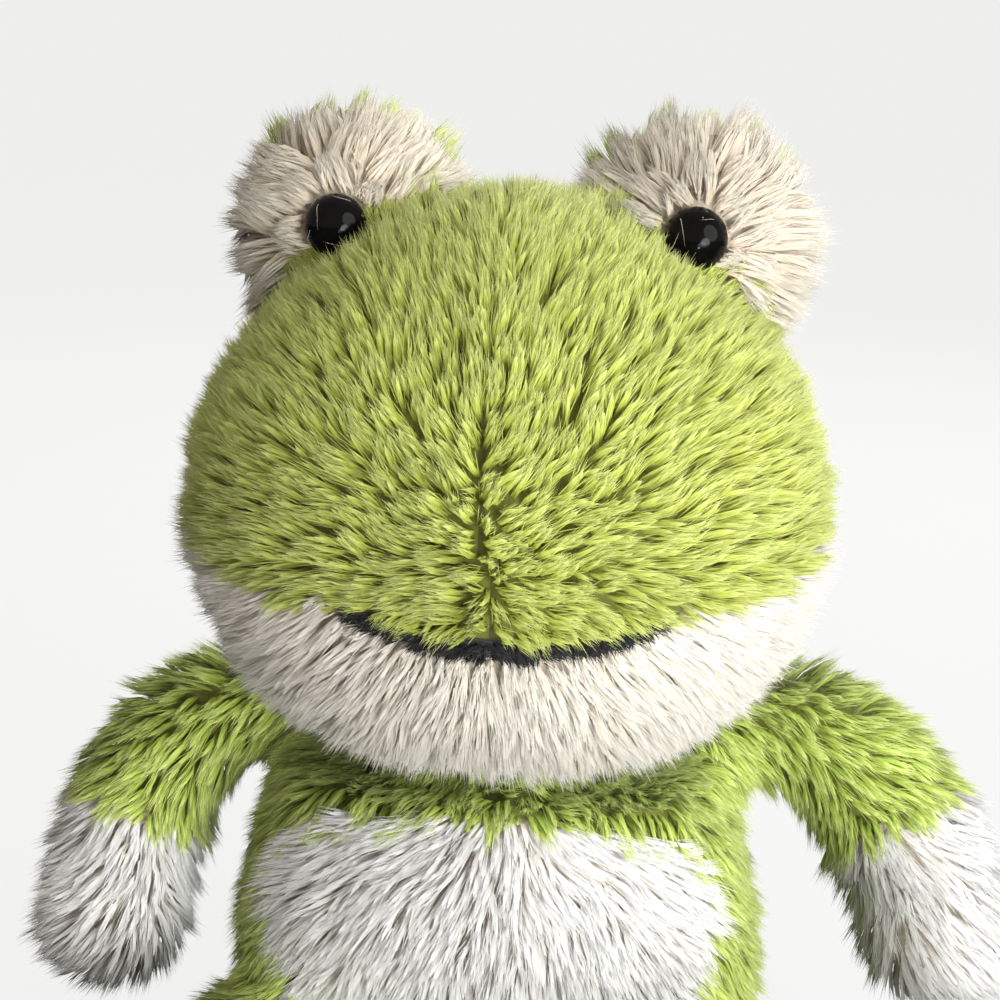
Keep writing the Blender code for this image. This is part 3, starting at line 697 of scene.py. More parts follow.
def parted(point, side):
    """Flow away from a point that also leads away from the middle seam, most of all near the lip."""
    point = np.array(point)

    def flow(places):
        near = 1.0 - smooth_step(np.abs(places[:, 0]), 0.0, 0.022)
        push = near * (1.1 - 0.9 * smooth_step(places[:, 2] - point[2], 0.012, 0.055))
        return unit(places - point) + push[:, None] * np.array((side, 0.0, 0.0))
    return flow


TOP_FROM = 0.080
TOP_TO = 0.100


def off_collar(side):
    """Flow that leads down the torso, and outwards from the neck on its top."""
    collar = np.array(joint_point("neck_turn"))

    def flow(places):
        high = smooth_step(places[:, 2], TOP_FROM, TOP_TO)
        ahead = np.clip((places[:, 1] - collar[1]) / 0.020, -1.0, 1.0)
        ways = np.repeat(np.array((side * 0.30, 0.0, -1.0))[None], len(places), 0)
        ways[:, 1] += 0.8 * high * ahead
        return ways
    return flow


def towards(point):
    """Flow that leads to a point."""
    point = np.array(point)
    return lambda places: unit(point - places)


def along(way):
    """Flow in one direction."""
    return lambda places: np.repeat(np.array(way, float)[None], len(places), 0)


class Finish:
    """New material whose nodes are added one by one and then joined to its shader."""

    def __init__(self, name):
        self.material = bpy.data.materials.new(name)
        self.material.use_nodes = True
        self.tree = self.material.node_tree
        self.shader = self.tree.nodes["Principled BSDF"]

    def fill(self, node, inputs):
        """Join sockets to a node's inputs and set its other inputs to values."""
        for socket, value in inputs.items():
            if isinstance(value, bpy.types.NodeSocket):
                self.tree.links.new(value, node.inputs[socket])
            else:
                node.inputs[socket].default_value = value

    def add(self, kind, inputs=(), out=0, **values):
        """Output of a new node with its own values and inputs."""
        node = self.tree.nodes.new(f"ShaderNode{kind}")
        for key, value in values.items():
            setattr(node, key, value)
        self.fill(node, dict(inputs))
        return node.outputs[out]

    def texture(self, kind, inputs, place=None, out="Fac", **values):
        """Texture on the object's coordinates or on another place."""
        if place is None:
            place = self.add("TexCoord", out="Object")
        return self.add(f"Tex{kind}", {"Vector": place, **inputs}, out, **values)

    def ramp(self, factor, *stops):
        """Colour ramp between stops of (place, colour)."""
        tint = self.add("ValToRGB", {0: factor})
        elements = tint.node.color_ramp.elements
        while len(elements) < len(stops):
            elements.new(0.5)
        for element, (place, colour) in zip(elements, stops):
            element.position = place
            element.color = (*colour, 1.0)
        return tint

    def coat(self, tint, rough, relief, levels=()):
        """The material with its colour, its roughness from a range and its relief."""
        height, strength, distance = relief
        bump = {"Height": height, "Strength": strength, "Distance": distance}
        self.fill(self.shader, {
            "Base Color": tint, "Roughness": self.add("MapRange", rough), "Normal": self.add("Bump", bump),
            **dict(levels),
        })
        return self.material


def shade(colour, share):
    """A colour at a share of its brightness."""
    return tuple(share * channel for channel in colour)


def pile_finish(name, root, middle, tip, dull=(0.80, 0.72, 0.78), fibre_gap_shade=0.80):
    """Pile whose strands run from a dark root to a pale tip, with fine fibres along them and painted shade
    between the fibres; on the plush the dark root is painted shade deep in the pile and the pale tip is
    painted light.
    """
    finish = Finish(name)
    add = finish.add
    uv = add("UVMap", uv_map="OFBake")
    tone, way = add("SeparateXYZ", {0: uv}).node.outputs[:2]
    stretch = add("Mapping", {"Vector": uv, "Scale": (260.0, 1.6, 1.0)})
    fine = {"Scale": 1.0, "Detail": 3.0, "Roughness": 0.6}
    fibres = finish.texture("Noise", fine, stretch, noise_dimensions="2D")
    blotch = add("Mapping", {"Vector": uv, "Scale": (34.0, 5.0, 1.0)})
    blotches = finish.texture("Noise", {"Scale": 1.0, "Detail": 2.0}, blotch, noise_dimensions="2D")
    shift = add("Math", {0: fibres, 1: 0.34, 2: way}, operation="MULTIPLY_ADD")
    lower = add("Math", {0: shift, 1: 0.17}, operation="SUBTRACT")
    colours = (root, middle, tip)
    # Root stops are painted shade and tip stops are painted light; the dim ramp is a duller copy that
    # strands take at random.
    dim = finish.ramp(lower, *zip((0.14, 0.62, 0.99), map(shade, colours, dull)))
    light = finish.ramp(lower, *zip((0.10, 0.54, 0.92), colours))
    blotched = add("Math", {0: blotches, 1: 0.5, 2: tone}, operation="MULTIPLY_ADD")
    level = add("MapRange", {0: blotched, 1: 0.45, 2: 1.05})
    colour = add("Mix", {0: level, 6: dim, 7: light}, 2, data_type="RGBA")
    # Darker streaks across each tuft: the grain of its fibres, and partly painted shade between the fibres.
    fibre_grain_and_gap_shade = add("MapRange", {0: fibres, 1: 0.30, 2: 0.68, 3: fibre_gap_shade, 4: 1.04})
    streaked = add("Mix", {0: 1.0, 6: colour, 7: fibre_grain_and_gap_shade}, 2, data_type="RGBA", blend_type="MULTIPLY")
    return finish.coat(streaked, {0: fibres, 3: 0.60, 4: 0.85}, (fibres, 0.25, 0.0002),
                       {"Specular IOR Level": 0.18, "Sheen Weight": 0.15, "Sheen Roughness": 0.5})


def backing_finish(name, colour):
    """Knitted backing of the plush, seen only between the tufts; it is given a colour darker than the pile's
    roots, which is painted shade deep in the pile.
    """
    finish = Finish(name)
    rows = finish.texture("Wave", {"Scale": 900.0, "Distortion": 6.0})
    patches = finish.texture("Noise", {"Scale": 160.0, "Detail": 4.0})
    mixed = finish.add("Math", {0: rows, 1: 0.2, 2: patches}, operation="MULTIPLY_ADD")
    tint = finish.ramp(mixed, (0.3, shade(colour, 0.6)), (0.95, colour))
    return finish.coat(tint, {0: patches, 3: 0.85, 4: 1.0}, (mixed, 0.5, 0.0004), {"Sheen Weight": 0.3})


def eye_finish(colour):
    """Black moulded plastic with a clear gloss, dust and hairline scratches."""
    finish = Finish("eye_plastic")
    smear = finish.texture("Noise", {"Scale": 240.0, "Detail": 5.0})
    lines = finish.texture("Wave", {"Scale": 900.0, "Distortion": 14.0})
    tint = finish.ramp(smear, (0.35, colour), (0.8, shade(colour, 2.2)))
    return finish.coat(tint, {0: smear, 1: 0.35, 2: 0.75, 3: 0.04, 4: 0.13}, (lines, 0.03, 0.00005),
                       {"IOR": 1.52, "Specular IOR Level": 0.09})


def felt_finish(colour):
    """Black pressed felt with paler crossing fibres."""
    finish = Finish("mouth_felt")
    place = finish.add("TexCoord", out="Object")
    stretch = finish.add("Mapping", {"Vector": place, "Scale": (500.0, 900.0, 1800.0)})
    hairs = finish.texture("Noise", {"Scale": 1.0, "Detail": 6.0, "Distortion": 1.5}, stretch)
    tint = finish.ramp(hairs, (0.45, colour), (0.80, shade(colour, 6.0)))
    return finish.coat(tint, {0: hairs, 3: 0.8, 4: 1.0}, (hairs, 0.8, 0.0005), {"Sheen Weight": 0.35})


def stuffing_finish(colour):
    """Carded polyester fibre in loose swirls."""
    finish = Finish("stuffing_fibre")
    swirl = finish.texture("Noise", {"Scale": 90.0, "Detail": 8.0, "Distortion": 2.5})
    tint = finish.ramp(swirl, (0.3, shade(colour, 0.72)), (0.7, colour))
    return finish.coat(tint, {0: swirl, 3: 0.8, 4: 1.0}, (swirl, 0.9, 0.002), {"Sheen Weight": 0.4})


def pouch_finish(colour):
    """Plain woven cotton, dented by the beads in it."""
    finish = Finish("pouch_cotton")
    threads = {"Scale": 320.0, "Distortion": 0.6}
    warp = finish.texture("Wave", threads, bands_direction="X")
    weft = finish.texture("Wave", threads, bands_direction="Y")
    beads = finish.texture("Voronoi", {"Scale": 260.0}, out="Distance")
    weave = finish.add("Math", {0: warp, 1: weft}, operation="MULTIPLY")
    relief = finish.add("Math", {0: beads, 1: -1.5, 2: weave}, operation="MULTIPLY_ADD")
    tint = finish.ramp(weave, (0.1, shade(colour, 0.7)), (0.8, colour))
    return finish.coat(tint, {0: weave, 3: 0.75, 4: 0.95}, (relief, 0.6, 0.0008))


def washer_finish():
    """Milky plastic of the lock washers."""
    finish = Finish("washer_plastic")
    cloud = finish.texture("Noise", {"Scale": 300.0, "Detail": 3.0})
    tint = finish.ramp(cloud, (0.3, (0.66, 0.67, 0.66)), (0.7, (0.80, 0.81, 0.80)))
    return finish.coat(tint, {0: cloud, 3: 0.28, 4: 0.45}, (cloud, 0.1, 0.0002))


PILE_NAMES = {
    "face": "face_green_pile", "body": "body_green_pile",
    "white": "ivory_pile", "mound": "mound_pile", "tummy": "tummy_pile",
}
WHITES = ("white", "mound", "tummy")
# The white piles take less of the duller copy and less painted shade between the fibres.
WHITE_LOOK = {"dull": (0.93, 0.88, 0.90), "fibre_gap_shade": 0.90}


def make_finish(name):
    """New finish of the frog by name."""
    colours = bpy.context.scene.frog_colours
    if name in PILE_NAMES:
        shades = [tuple(getattr(colours, f"{name}_{place}")) for place in SHADES]
        return pile_finish(PILE_NAMES[name], *shades, **(WHITE_LOOK if name in WHITES else {}))
    felt = tuple(colours.felt)
    maker, *values = {
        "felt_fuzz": (pile_finish, "felt_fuzz", felt, felt, shade(felt, 5.0)),
        # The backings take the pile's root colours darkened further: painted shade deep in the pile between
        # the tufts.
        "green_backing": (backing_finish, "green_backing", shade(colours.face_root, 0.8)),
        "white_backing": (backing_finish, "white_backing", shade(colours.white_root, 0.75)),
        "eye": (eye_finish, tuple(colours.eye)),
        "felt": (felt_finish, felt),
        "fibre": (stuffing_finish, tuple(colours.fibre)),
        "pouch": (pouch_finish, tuple(colours.pouch)),
        "washer": (washer_finish,),
    }[name]
    return maker(*values)


def paint(piece, finish):
    """Give a piece one finish, made when it is first needed."""
    if finish not in FINISHES:
        FINISHES[finish] = make_finish(finish)
    piece.data.materials.clear()
    piece.data.materials.append(FINISHES[finish])


def dress(node, panel, pile, body, extra=None, bend=None):
    """Turn an open panel into its cloth and its pile, in place of its node of the frame."""
    cloth = bpy.context.scene.frog_cloth
    rng = np.random.default_rng([cloth.seed, *node.encode()])
    white = pile.finish in WHITES
    strands = Strands(cloth.white_softness if white else cloth.softness)
    grow(strands, panel, pile, rng)
    if extra is not None:
        extra(strands, rng)
    hair = strands.piece(f"{node}_pile")
    paint(hair, pile.finish)
    put_on(panel, "SOLIDIFY", thickness=cloth.thickness, offset=-1.0)
    panel.data.shade_smooth()
    # The backing's darkened colour is painted shade under the pile.
    paint(panel, "white_backing" if white else "green_backing")
    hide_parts(node)
    for piece in (panel, hair):
        if bend is None:
            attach(piece, body)
        else:
            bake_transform(piece)


SHOULDER_BALL = 0.018
HIP_BALL = 0.022


class FROG_OT_torso(bpy.types.Operator):
    """Tummy, sides and base of the torso with their pile"""

    bl_idname = "frog.torso"
    bl_label = "Torso"

    def execute(self, context):
        inset = context.scene.frog_cloth.pile_depth
        panels = [*(f"torso_side_{name}" for name in SIDES), "tummy", "base_panel"]
        collar = joint_point("neck_turn")
        balls = [(collar, ball_size("neck_stuffing"))]
        for name in SIDES:
            balls.append((joint_point(f"shoulder_{name}"), SHOULDER_BALL))
            balls.append((joint_point(f"hip_{name}"), HIP_BALL))
        cores = ["torso_stuffing", "seat_pouch", "neck_stuffing"]
        form = make_form("torso_form", [*panels, *cores], balls, inset)
        TREES["torso"] = tree_of(form)

        def narrowed(places):
            wider = places.copy()
            wider[:, 0] *= 1.05 + 0.24 * (1.0 - smooth_step(places[:, 2], 0.036, 0.080))
            return wider
        cut = cut_panels(form, panels, warp=narrowed)
        low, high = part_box("tummy")

        def at_chest(places):
            above = smooth_step(places[:, 2], high.z - 0.006, high.z) * (places[:, 1] < collar.y)
            return 1.3 * above * (1.0 - smooth_step(places[:, 2], high.z + 0.010, high.z + 0.018))

        heart = Vector((0.004, low.y + 0.012, high.z + 0.004))
        tummy = Pile("tummy", 0.0112, away_from(heart, (0.0, 0.0, -0.10)), lift=(60.0, 30.0), droop=0.10,
                     share=1.25, width=0.9, gather=0.4)
        dress("tummy", cut["tummy"], tummy, "torso")
        for name, side in SIDES.items():
            pile = Pile("body", 0.0110, off_collar(side), lift=(58.0, 28.0), droop=0.10, share=0.9,
                        gather=0.5, crowd=at_chest, rise=lambda places: -12.0 * at_chest(places))
            dress(f"torso_side_{name}", cut[f"torso_side_{name}"], pile, "torso")
        base = Pile("body", 0.0050, along((0.0, 1.0, 0.0)), lift=(20.0, 5.0), share=0.5)
        dress("base_panel", cut["base_panel"], base, "torso")
        return {"FINISHED"}


def ball_size(node):
    """Radius of a ball of the frame."""
    low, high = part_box(node)
    return (high.x - low.x) / 2


class FROG_OT_head(bpy.types.Operator):
    """Muzzle, jaw, back of the head and both eye mounds with their pile"""

    bl_idname = "frog.head"
    bl_label = "Head"

    def execute(self, context):
        cloth, face = context.scene.frog_cloth, context.scene.frog_face
        halves = [f"{part}_{name}" for part in ("muzzle", "head_back") for name in SIDES]
        mounds = [f"mound_{part}_{name}" for part in ("front", "back") for name in SIDES]
        cores = ["head_stuffing", "neck_stuffing", *(f"mound_stuffing_{name}" for name in SIDES)]
        balls = [mound_ball(name) for name in SIDES]
        nodes = [*halves, *mounds, "jaw", "mouth_lining", *cores]
        form = make_form("head_form", nodes, balls, cloth.pile_depth)
        make_lining(form)
        neck = np.array(joint_point("neck_turn"))
        ball = ball_size("neck_stuffing")

        def owned(places):
            moved = lip_sag(places)
            moved[:, 1] += np.where(np.linalg.norm(places - neck, axis=1) < ball, 0.060, 0.0)
            return moved

        cut = cut_panels(form, [*halves, *mounds, "jaw"], warp=owned)
        lip, _ = mouth_place()
        eyes = {name: eye_place(name) for name in SIDES}

        def near_eyes(places):
            shares = np.ones(len(places))
            for base, _ in eyes.values():
                distance = np.linalg.norm(places - np.array(base), axis=1)
                shares = np.minimum(shares, 0.40 + 0.60 * smooth_step(distance, 0.008, 0.024))
            return shares

        def near_lip(places):
            height = lip_height(places)
            across = 1.0 - smooth_step(np.abs(places[:, 0] - face.mouth_side), 0.034, 0.044)
            above = 0.58 + 0.42 * smooth_step(height, 0.004, 0.013)
            below = 0.55 + 0.45 * smooth_step(-height, 0.0, 0.009)
            return 1.0 - across * (1.0 - np.where(height > 0.0, above, below))

        def off_lining(places):
            height = lip_height(places)
            within = np.abs(places[:, 0] - face.mouth_side) < face.mouth_width / 2 - 0.001
            return ~((height > 0.0003) & (height < face.lip_gap) & within & (places[:, 1] < 0.0))

        source = lip + Vector((0.0, 0.004, 0.003))

        def at_seam(places):
            seam = 0.6 * (1.0 - smooth_step(np.abs(places[:, 0]), 0.004, 0.014))
            distance = np.linalg.norm(places - np.array(source), axis=1)
            return np.maximum(seam, 1.5 * (1.0 - smooth_step(distance, 0.014, 0.032)))

        def ridge(places):
            across = np.abs(places[:, 0])
            steep = np.where(places[:, 0] > 0.0, 14.0, 4.0) * (1.0 - smooth_step(across, 0.001, 0.006))
            return steep - 12.0 * smooth_step(across, 0.025, 0.060)

        def at_chin(places):
            return 16.0 * (1.0 - smooth_step(-lip_height(places), 0.0, 0.009))

        for name, side in SIDES.items():
            muzzle = Pile("face", 0.0094, parted(source, side), lift=(62.0, 32.0), droop=0.04, share=1.15,
                          gather=0.5, trim=lambda places: near_eyes(places) * near_lip(places),
                          keep=off_lining, crowd=at_seam, rise=ridge)
            dress(f"muzzle_{name}", cut[f"muzzle_{name}"], muzzle, "head")
            rear = Pile("face", 0.0110, along((side * 0.5, 0.3, -1.0)), lift=(58.0, 26.0), share=0.85,
                        gather=0.5)
            dress(f"head_back_{name}", cut[f"head_back_{name}"], rear, "head")
        chin = lip + Vector((0.0, 0.008, 0.012))
        jaw = Pile("white", 0.0102, away_from(chin, (0.0, 0.0, -0.1)), lift=(56.0, 24.0), droop=0.08,
                   share=1.2, width=0.8, gather=0.25, trim=near_lip, keep=off_lining, rise=at_chin)
        dress("jaw", cut["jaw"], jaw, "head")

        for name, side in SIDES.items():
            base, way = eyes[name]
            radius = ball_size(f"eye_{name}")
            centre, _ = mound_ball(name)
            dress_mound(name, side, cut, Vector(base), way, radius, centre)
        return {"FINISHED"}


def dress_mound(name, side, cut, base, way, radius, centre):
    """White front of an eye mound, whose pile parts round the eye, and its green back."""
    middle, gaze = np.array(base), np.array(way)

    def from_axis(places):
        offset = places - middle
        return np.linalg.norm(offset - (offset @ gaze)[:, None] * gaze, axis=1)

    def facing(places):
        return (places - middle) @ gaze > -0.006

    def keep(places):
        return ~((from_axis(places) < radius * 0.96) & facing(places))

    def trim(places):
        return 0.50 + 0.50 * smooth_step(from_axis(places), radius, radius + 0.010)

    def rise(places):
        return 34.0 * (1.0 - smooth_step(from_axis(places), radius, radius + 0.008))

    def crowd(places):
        return 2.2 * (1.0 - smooth_step(from_axis(places), radius + 0.002, radius + 0.010))

    def wisps(strands, rng):
        number = bpy.context.scene.frog_face.wisps
        angles = rng.uniform(0.0, math.tau, number)
        first = np.array((1.0, 0.0, 0.0))
        second = np.cross(gaze, first)
        spokes = np.cos(angles)[:, None] * first + np.sin(angles)[:, None] * second
        roots = middle + spokes * (radius * 1.05) - gaze * 0.001
        crossing = unit(-spokes + rng.normal(0.0, 0.55, (number, 3)))
        tops = roots + gaze * 0.0080 + crossing * 0.0035
        far = gaze * rng.uniform(0.0076, 0.0086, number)[:, None]
        tips = roots + far + crossing * rng.uniform(0.006, 0.011, number)[:, None]
        courses = np.stack((roots, tops, tips), 1)
        fronts = np.repeat(gaze[None], number, 0)
        strands.add(courses, fronts, np.full(number, WISP_WIDTH), np.zeros(number),
                    np.full(number, 0.85), WISP_SHARES, WISP_PROFILE)

    # The mound's pile takes the darker, warmer white, which is painted shade.
    front = Pile("mound", 0.0130, away_from(base + way * -0.004, (side * 0.1, 0.0, 0.10)),
                 lift=(48.0, 26.0), spread=0.42, droop=0.05, width=1.05, gather=0.55, clump=1.3,
                 share=1.2, trim=trim, keep=keep, rise=rise, crowd=crowd)
    dress(f"mound_front_{name}", cut[f"mound_front_{name}"], front, "head", extra=wisps)
    rear = Pile("face", 0.0150, away_from(base + way * 0.01, (0.0, 0.0, 0.4)), lift=(58.0, 36.0),
                spread=0.42, gather=0.7, clump=1.3)
    dress(f"mound_back_{name}", cut[f"mound_back_{name}"], rear, "head")


FELT_FORWARD = 0.0022
FELT_SEED = 5


def make_lining(form):
    """Felt strip between the lips, cut from the head's form a little in front of its backing."""
    face = bpy.context.scene.frog_face
    lip, lip_up = mouth_place()
    felt = object_of("mouth_felt", form.data.copy())
    put_on(felt, "DISPLACE", strength=FELT_FORWARD, mid_level=0.0)
    warp_piece(felt)
    half = face.mouth_width / 2
    cuts = [
        (lip, -lip_up), (lip + lip_up * face.lip_gap, lip_up),
        (Vector((face.mouth_side + half, 0, 0)), Vector((1, 0, 0))),
        (Vector((face.mouth_side - half, 0, 0)), Vector((-1, 0, 0))),
        (Vector((0, 0, 0)), Vector((0, 1, 0))),
    ]
    edit(felt)
    for point, normal in cuts:
        bpy.ops.mesh.select_all(action="SELECT")
        bpy.ops.mesh.bisect(plane_co=point, plane_no=normal, clear_outer=True)
    close_edit()
    warp_piece(felt, back=True)
    cloth = bpy.context.scene.frog_cloth
    rng = np.random.default_rng([cloth.seed, FELT_SEED])
    strands = Strands(cloth.softness)
    fuzz = Pile("felt_fuzz", 0.0024, away_from(lip + Vector((0.0, 0.02, 0.002))), lift=(50.0, 20.0),
                share=6.0, spread=0.9, width=0.4)
    grow(strands, felt, fuzz, rng)
    hair = strands.piece("mouth_felt_fuzz")
    paint(hair, "felt_fuzz")
    put_on(felt, "SUBSURF", levels=1, render_levels=1)
    put_on(felt, "SOLIDIFY", thickness=face.felt_depth, offset=-1.0)
    felt.data.shade_smooth()
    paint(felt, "felt")
    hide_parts("mouth_lining")
    for piece in (felt, hair):
        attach(piece, "head")


RIM_SHARE = 0.955
HOLLOW_SHARE = 0.35
SHANK_TIP = 0.0005


class FROG_OT_eyes(bpy.types.Operator):
    """Both domed eyes on their shanks"""

    bl_idname = "frog.eyes"
    bl_label = "Eyes"

    def execute(self, context):
        face = context.scene.frog_face
        for name in SIDES:
            base, way = eye_place(name)
            node = frame["nodes"][f"eye_{name}"]
            radius = ball_size(f"eye_{name}")
            shank = way.dot(base) - min(way.dot(vert.co) for vert in node.data.vertices)
            bpy.ops.mesh.primitive_uv_sphere_add(segments=64, ring_count=32, radius=radius)
            eye = context.active_object
            eye.name = f"domed_eye_{name}"
            edit(eye)
            bpy.ops.mesh.bisect(plane_co=(0, 0, 0), plane_no=(0, 0, 1), clear_inner=True)
            rim = face.eye_rim
            steps = (
                (rim * 0.7, 1.0), (rim * 0.3, RIM_SHARE), (0.0, HOLLOW_SHARE),
                (0.0, face.shank_radius / radius / (RIM_SHARE * HOLLOW_SHARE)),
                (shank - SHANK_TIP, 1.0), (SHANK_TIP, 0.75),
            )
            for drop_by, share in steps:
                bpy.ops.mesh.extrude_region_move(TRANSFORM_OT_translate={"value": (0.0, 0.0, -drop_by)})
                bpy.ops.transform.resize(value=(share, share, 1.0))
            bpy.ops.mesh.edge_face_add()
            bpy.ops.mesh.select_all(action="SELECT")
            bpy.ops.mesh.normals_make_consistent(inside=False)
            close_edit()
            for vert in eye.data.vertices:
                if vert.co.z > 0.0:
                    vert.co.z *= face.eye_dome / radius
            stand = Matrix.Translation(base + way * rim) @ way.to_track_quat("Z", "Y").to_matrix().to_4x4()
            eye.data.transform(stand)
            eye.data.shade_smooth()
            eye.data.set_sharp_from_angle(angle=math.radians(50.0))
            paint(eye, "eye")
            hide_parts(f"eye_{name}")
            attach(eye, "head")
            paint(frame["nodes"][f"eye_washer_{name}"], "washer")
        return {"FINISHED"}


class FROG_OT_arms(bpy.types.Operator):
    """Both arms: green sleeves and white hands"""

    bl_idname = "frog.arms"
    bl_label = "Arms"

    def execute(self, context):
        inset = context.scene.frog_cloth.pile_depth * 0.9
        for name in SIDES:
            nodes = [f"arm_sleeve_{name}", f"hand_{name}"]
            form = make_form(f"arm_form_{name}", [*nodes, f"arm_stuffing_{name}"], [], inset)
            cut = cut_panels(form, nodes)
            root = joint_point(f"shoulder_{name}")
            low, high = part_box(nodes[1])
            hand_middle = (low + high) / 2
            beyond = hand_middle + (hand_middle - root) * 0.9
            sleeve = Pile("body", 0.0112, towards(beyond), lift=(56.0, 28.0), droop=0.05, gather=0.5,
                          keep=outside_torso)
            dress(nodes[0], cut[nodes[0]], sleeve, f"arm_{name}")
            hand = Pile("tummy", 0.0115, towards(beyond), lift=(54.0, 24.0), droop=0.05, gather=0.4)
            dress(nodes[1], cut[nodes[1]], hand, f"arm_{name}")
        return {"FINISHED"}


class FROG_OT_legs(bpy.types.Operator):
    """Both legs: green sleeves and white feet"""

    bl_idname = "frog.legs"
    bl_label = "Legs"

    def execute(self, context):
        inset = context.scene.frog_cloth.pile_depth
        for name in SIDES:
            sleeve_node, foot_node = f"leg_sleeve_{name}", f"foot_{name}"
            root = joint_point(f"hip_{name}")
            low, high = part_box(foot_node)
            sole = (low + high) / 2
            way = Vector((sole.x - root.x, sole.y - root.y, 0.0)).normalized()
            cores = [f"leg_stuffing_{name}", f"foot_stuffing_{name}"]
            form = make_form(f"leg_form_{name}", [sleeve_node, foot_node, *cores], [], inset)
            cut = cut_panels(form, [sleeve_node, foot_node])
            sleeve = Pile("body", 0.0112, along(way + Vector((0, 0, -0.25))), lift=(56.0, 26.0),
                          share=0.85, gather=0.5, keep=outside_torso)
            bend = (root + way * 0.002, root + way * 0.026)
            dress(sleeve_node, cut[sleeve_node], sleeve, f"leg_{name}", bend=bend)
            toes = Vector((sole.x, sole.y, high.z)) - way * 0.012
            foot = Pile("tummy", 0.0112, away_from(toes), lift=(56.0, 26.0), droop=0.05, gather=0.4)
            dress(foot_node, cut[foot_node], foot, f"leg_{name}")
        return {"FINISHED"}


SINK_DEPTH = 0.008
NECK_SHRINK = 2.5


class FROG_OT_filling(bpy.types.Operator):
    """Finishes of the stuffing and the weighted pouch inside the frog"""

    bl_idname = "frog.filling"
    bl_label = "Filling"

    def execute(self, context):
        for node, piece in frame["nodes"].items():
            if "stuffing" in node:
                paint(piece, "fibre")
        torso = node_copy("torso_stuffing")
        torso.name = "torso_filling"
        for vert in torso.data.vertices:
            vert.co.z -= SINK_DEPTH * smooth_step(vert.co.z, TOP_FROM, TOP_TO)
        paint(torso, "fibre")
        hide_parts("torso_stuffing")
        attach(torso, "torso")
        cloth = context.scene.frog_cloth
        neck = node_copy("neck_stuffing")
        neck.name = "neck_filling"
        put_on(neck, "DISPLACE", strength=-NECK_SHRINK * cloth.pile_depth, mid_level=0.0)
        neck.data.shade_smooth()
        paint(neck, "fibre")
        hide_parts("neck_stuffing")
        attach(neck, "neck")
        paint(frame["nodes"]["seat_pouch"], "pouch")
        return {"FINISHED"}


BACK_SHARE = 0.70
LOW_SHARE = 0.20


class FROG_OT_stage(bpy.types.Operator):
    """Pale floor, soft studio light and the camera"""

    bl_idname = "frog.stage"
    bl_label = "Stage"

    def execute(self, context):
        stage = context.scene.frog_stage
        bpy.ops.mesh.primitive_plane_add(size=stage.floor_size, location=(0.0, 0.0, 0.0))
        floor = context.active_object
        floor.name = "floor"
        paper = Finish("floor_paper")
        cloud = paper.texture("Noise", {"Scale": 12.0, "Detail": 4.0})
        half = shade(stage.paper, stage.floor_share)
        lit = stage.floor_share * stage.ambient
        rest = [channel * (1.0 - lit * tint) for channel, tint in zip(stage.paper, stage.ambient_tint)]
        paper.fill(paper.shader, {
            "Base Color": paper.ramp(cloud, (0.3, shade(half, 0.985)), (0.7, half)),
            "Emission Strength": paper.add("LightPath", out="Is Camera Ray"),
            "Emission Color": (*rest, 1.0), "Roughness": 1.0, "Specular IOR Level": 0.0,
        })
        floor.data.materials.append(paper.material)
        make_sky(stage)
        lamp("key_lamp", (1.60, -1.20, 1.10), 1.90, stage.key_power)
        lamp("fill_lamp", (0.72, -1.15, 0.16), 0.64, stage.fill_power)
        lamp("back_lamp", (0.30, 0.90, 1.00), 0.60, BACK_SHARE * stage.fill_power)
        lamp("low_lamp", (0.35, -0.80, 0.03), 0.40, LOW_SHARE * stage.fill_power)
        lamp("catch_lamp", (0.16, -0.55, 0.05), 0.03, stage.catch_power)
        make_camera(stage)
        context.scene.view_settings.view_transform = "Standard"
        return {"FINISHED"}


def make_sky(stage):
    """Even light from all round, which the camera sees as pale paper."""
    world = bpy.data.worlds.new("studio")
    bpy.context.scene.world = world
    world.use_nodes = True
    tree = world.node_tree
    tree.nodes.clear()
    rays = tree.nodes.new("ShaderNodeLightPath")
    light = tree.nodes.new("ShaderNodeBackground")
    light.inputs["Color"].default_value = (*stage.ambient_tint, 1.0)
    light.inputs["Strength"].default_value = stage.ambient
    paper = tree.nodes.new("ShaderNodeBackground")
    paper.inputs["Color"].default_value = (*stage.paper, 1.0)
    paper.inputs["Strength"].default_value = 1.0
    mixed = tree.nodes.new("ShaderNodeMixShader")
    out = tree.nodes.new("ShaderNodeOutputWorld")
    tree.links.new(rays.outputs["Is Camera Ray"], mixed.inputs[0])
    tree.links.new(light.outputs[0], mixed.inputs[1])
    tree.links.new(paper.outputs[0], mixed.inputs[2])
    tree.links.new(mixed.outputs[0], out.inputs[0])


def lamp(name, place, size, power):
    """Round soft lamp that shines on the frog's chest."""
    bpy.ops.object.light_add(type="AREA", location=place)
    light = bpy.context.active_object
    light.name = name
    light.data.shape = "DISK"
    light.data.size = size
    light.data.energy = power
    aim = Vector((0.0, 0.0, 0.16)) - Vector(place)
    light.rotation_euler = aim.to_track_quat("-Z", "Y").to_euler()


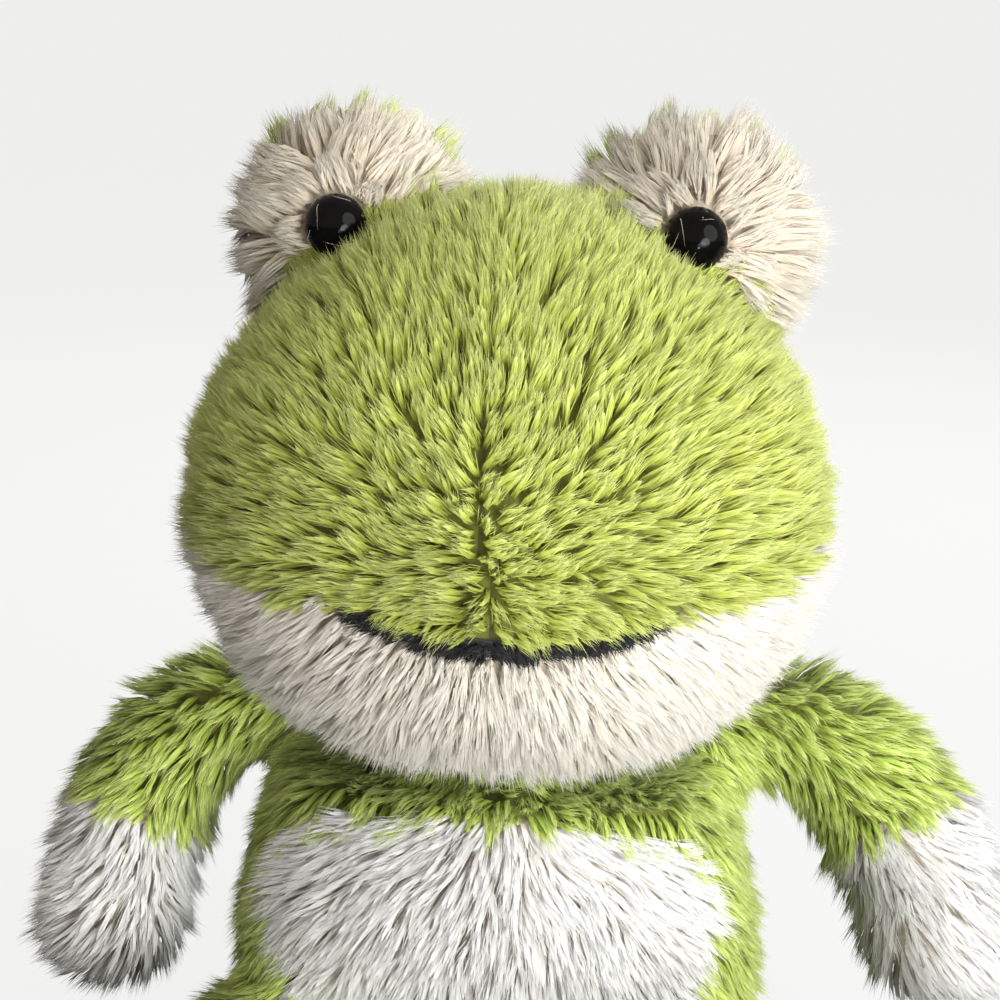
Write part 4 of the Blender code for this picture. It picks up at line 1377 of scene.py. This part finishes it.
def make_camera(stage):
    """Camera that looks slightly down on the face, as the photograph does."""
    turn, rise = stage.camera_side, stage.camera_height
    back = Vector((math.sin(turn) * math.cos(rise), -math.cos(turn) * math.cos(rise), math.sin(rise)))
    bpy.ops.object.camera_add()
    camera = bpy.context.active_object
    camera.name = "photo_camera"
    camera.data.sensor_width = 36.0
    camera.data.lens = stage.lens
    camera.rotation_mode = "QUATERNION"
    look = (-back).to_track_quat("-Z", "Y")
    right, up = look @ Vector((1, 0, 0)), look @ Vector((0, 1, 0))
    centre = Vector((0.0, -0.010, 0.180))
    place = centre + back * stage.camera_distance
    aim = centre - right * 0.0017 - up * 0.0072
    look = (aim - place).to_track_quat("-Z", "Y")
    camera.location = place
    camera.rotation_quaternion = look @ Matrix.Rotation(stage.camera_roll, 4, "Z").to_quaternion()
    camera.data.clip_start = 0.01
    bpy.context.scene.camera = camera


class FROG_PT_looks(bpy.types.Panel):
    """The frog's steps in the sidebar"""

    bl_label = "Plush Frog"
    bl_idname = "FROG_PT_looks"
    bl_space_type = "VIEW_3D"
    bl_region_type = "UI"
    bl_category = "Frog"

    def draw(self, context):
        layout = self.layout
        for kind, settings in SETTINGS:
            box = layout.box()
            for name in kind.__annotations__:
                box.prop(getattr(context.scene, settings), name)
        for step in STEPS:
            layout.operator(step.bl_idname)


SETTINGS = (
    (FrogCloth, "frog_cloth"), (FrogColours, "frog_colours"),
    (FrogFace, "frog_face"), (FrogStage, "frog_stage"),
)
STEPS = (
    FROG_OT_torso, FROG_OT_head, FROG_OT_eyes, FROG_OT_arms, FROG_OT_legs, FROG_OT_filling, FROG_OT_stage,
)


def register():
    for kind, settings in SETTINGS:
        bpy.utils.register_class(kind)
        setattr(bpy.types.Scene, settings, PointerProperty(type=kind))
    for step in (*STEPS, FROG_PT_looks):
        bpy.utils.register_class(step)


def unregister():
    for step in (FROG_PT_looks, *reversed(STEPS)):
        bpy.utils.unregister_class(step)
    for kind, settings in reversed(SETTINGS):
        delattr(bpy.types.Scene, settings)
        bpy.utils.unregister_class(kind)


def main():
    register()
    bpy.ops.frog.torso()
    bpy.ops.frog.head()
    bpy.ops.frog.eyes()
    bpy.ops.frog.arms()
    bpy.ops.frog.legs()
    bpy.ops.frog.filling()
    bpy.ops.frog.stage()


if __name__ == "__main__":
    main()
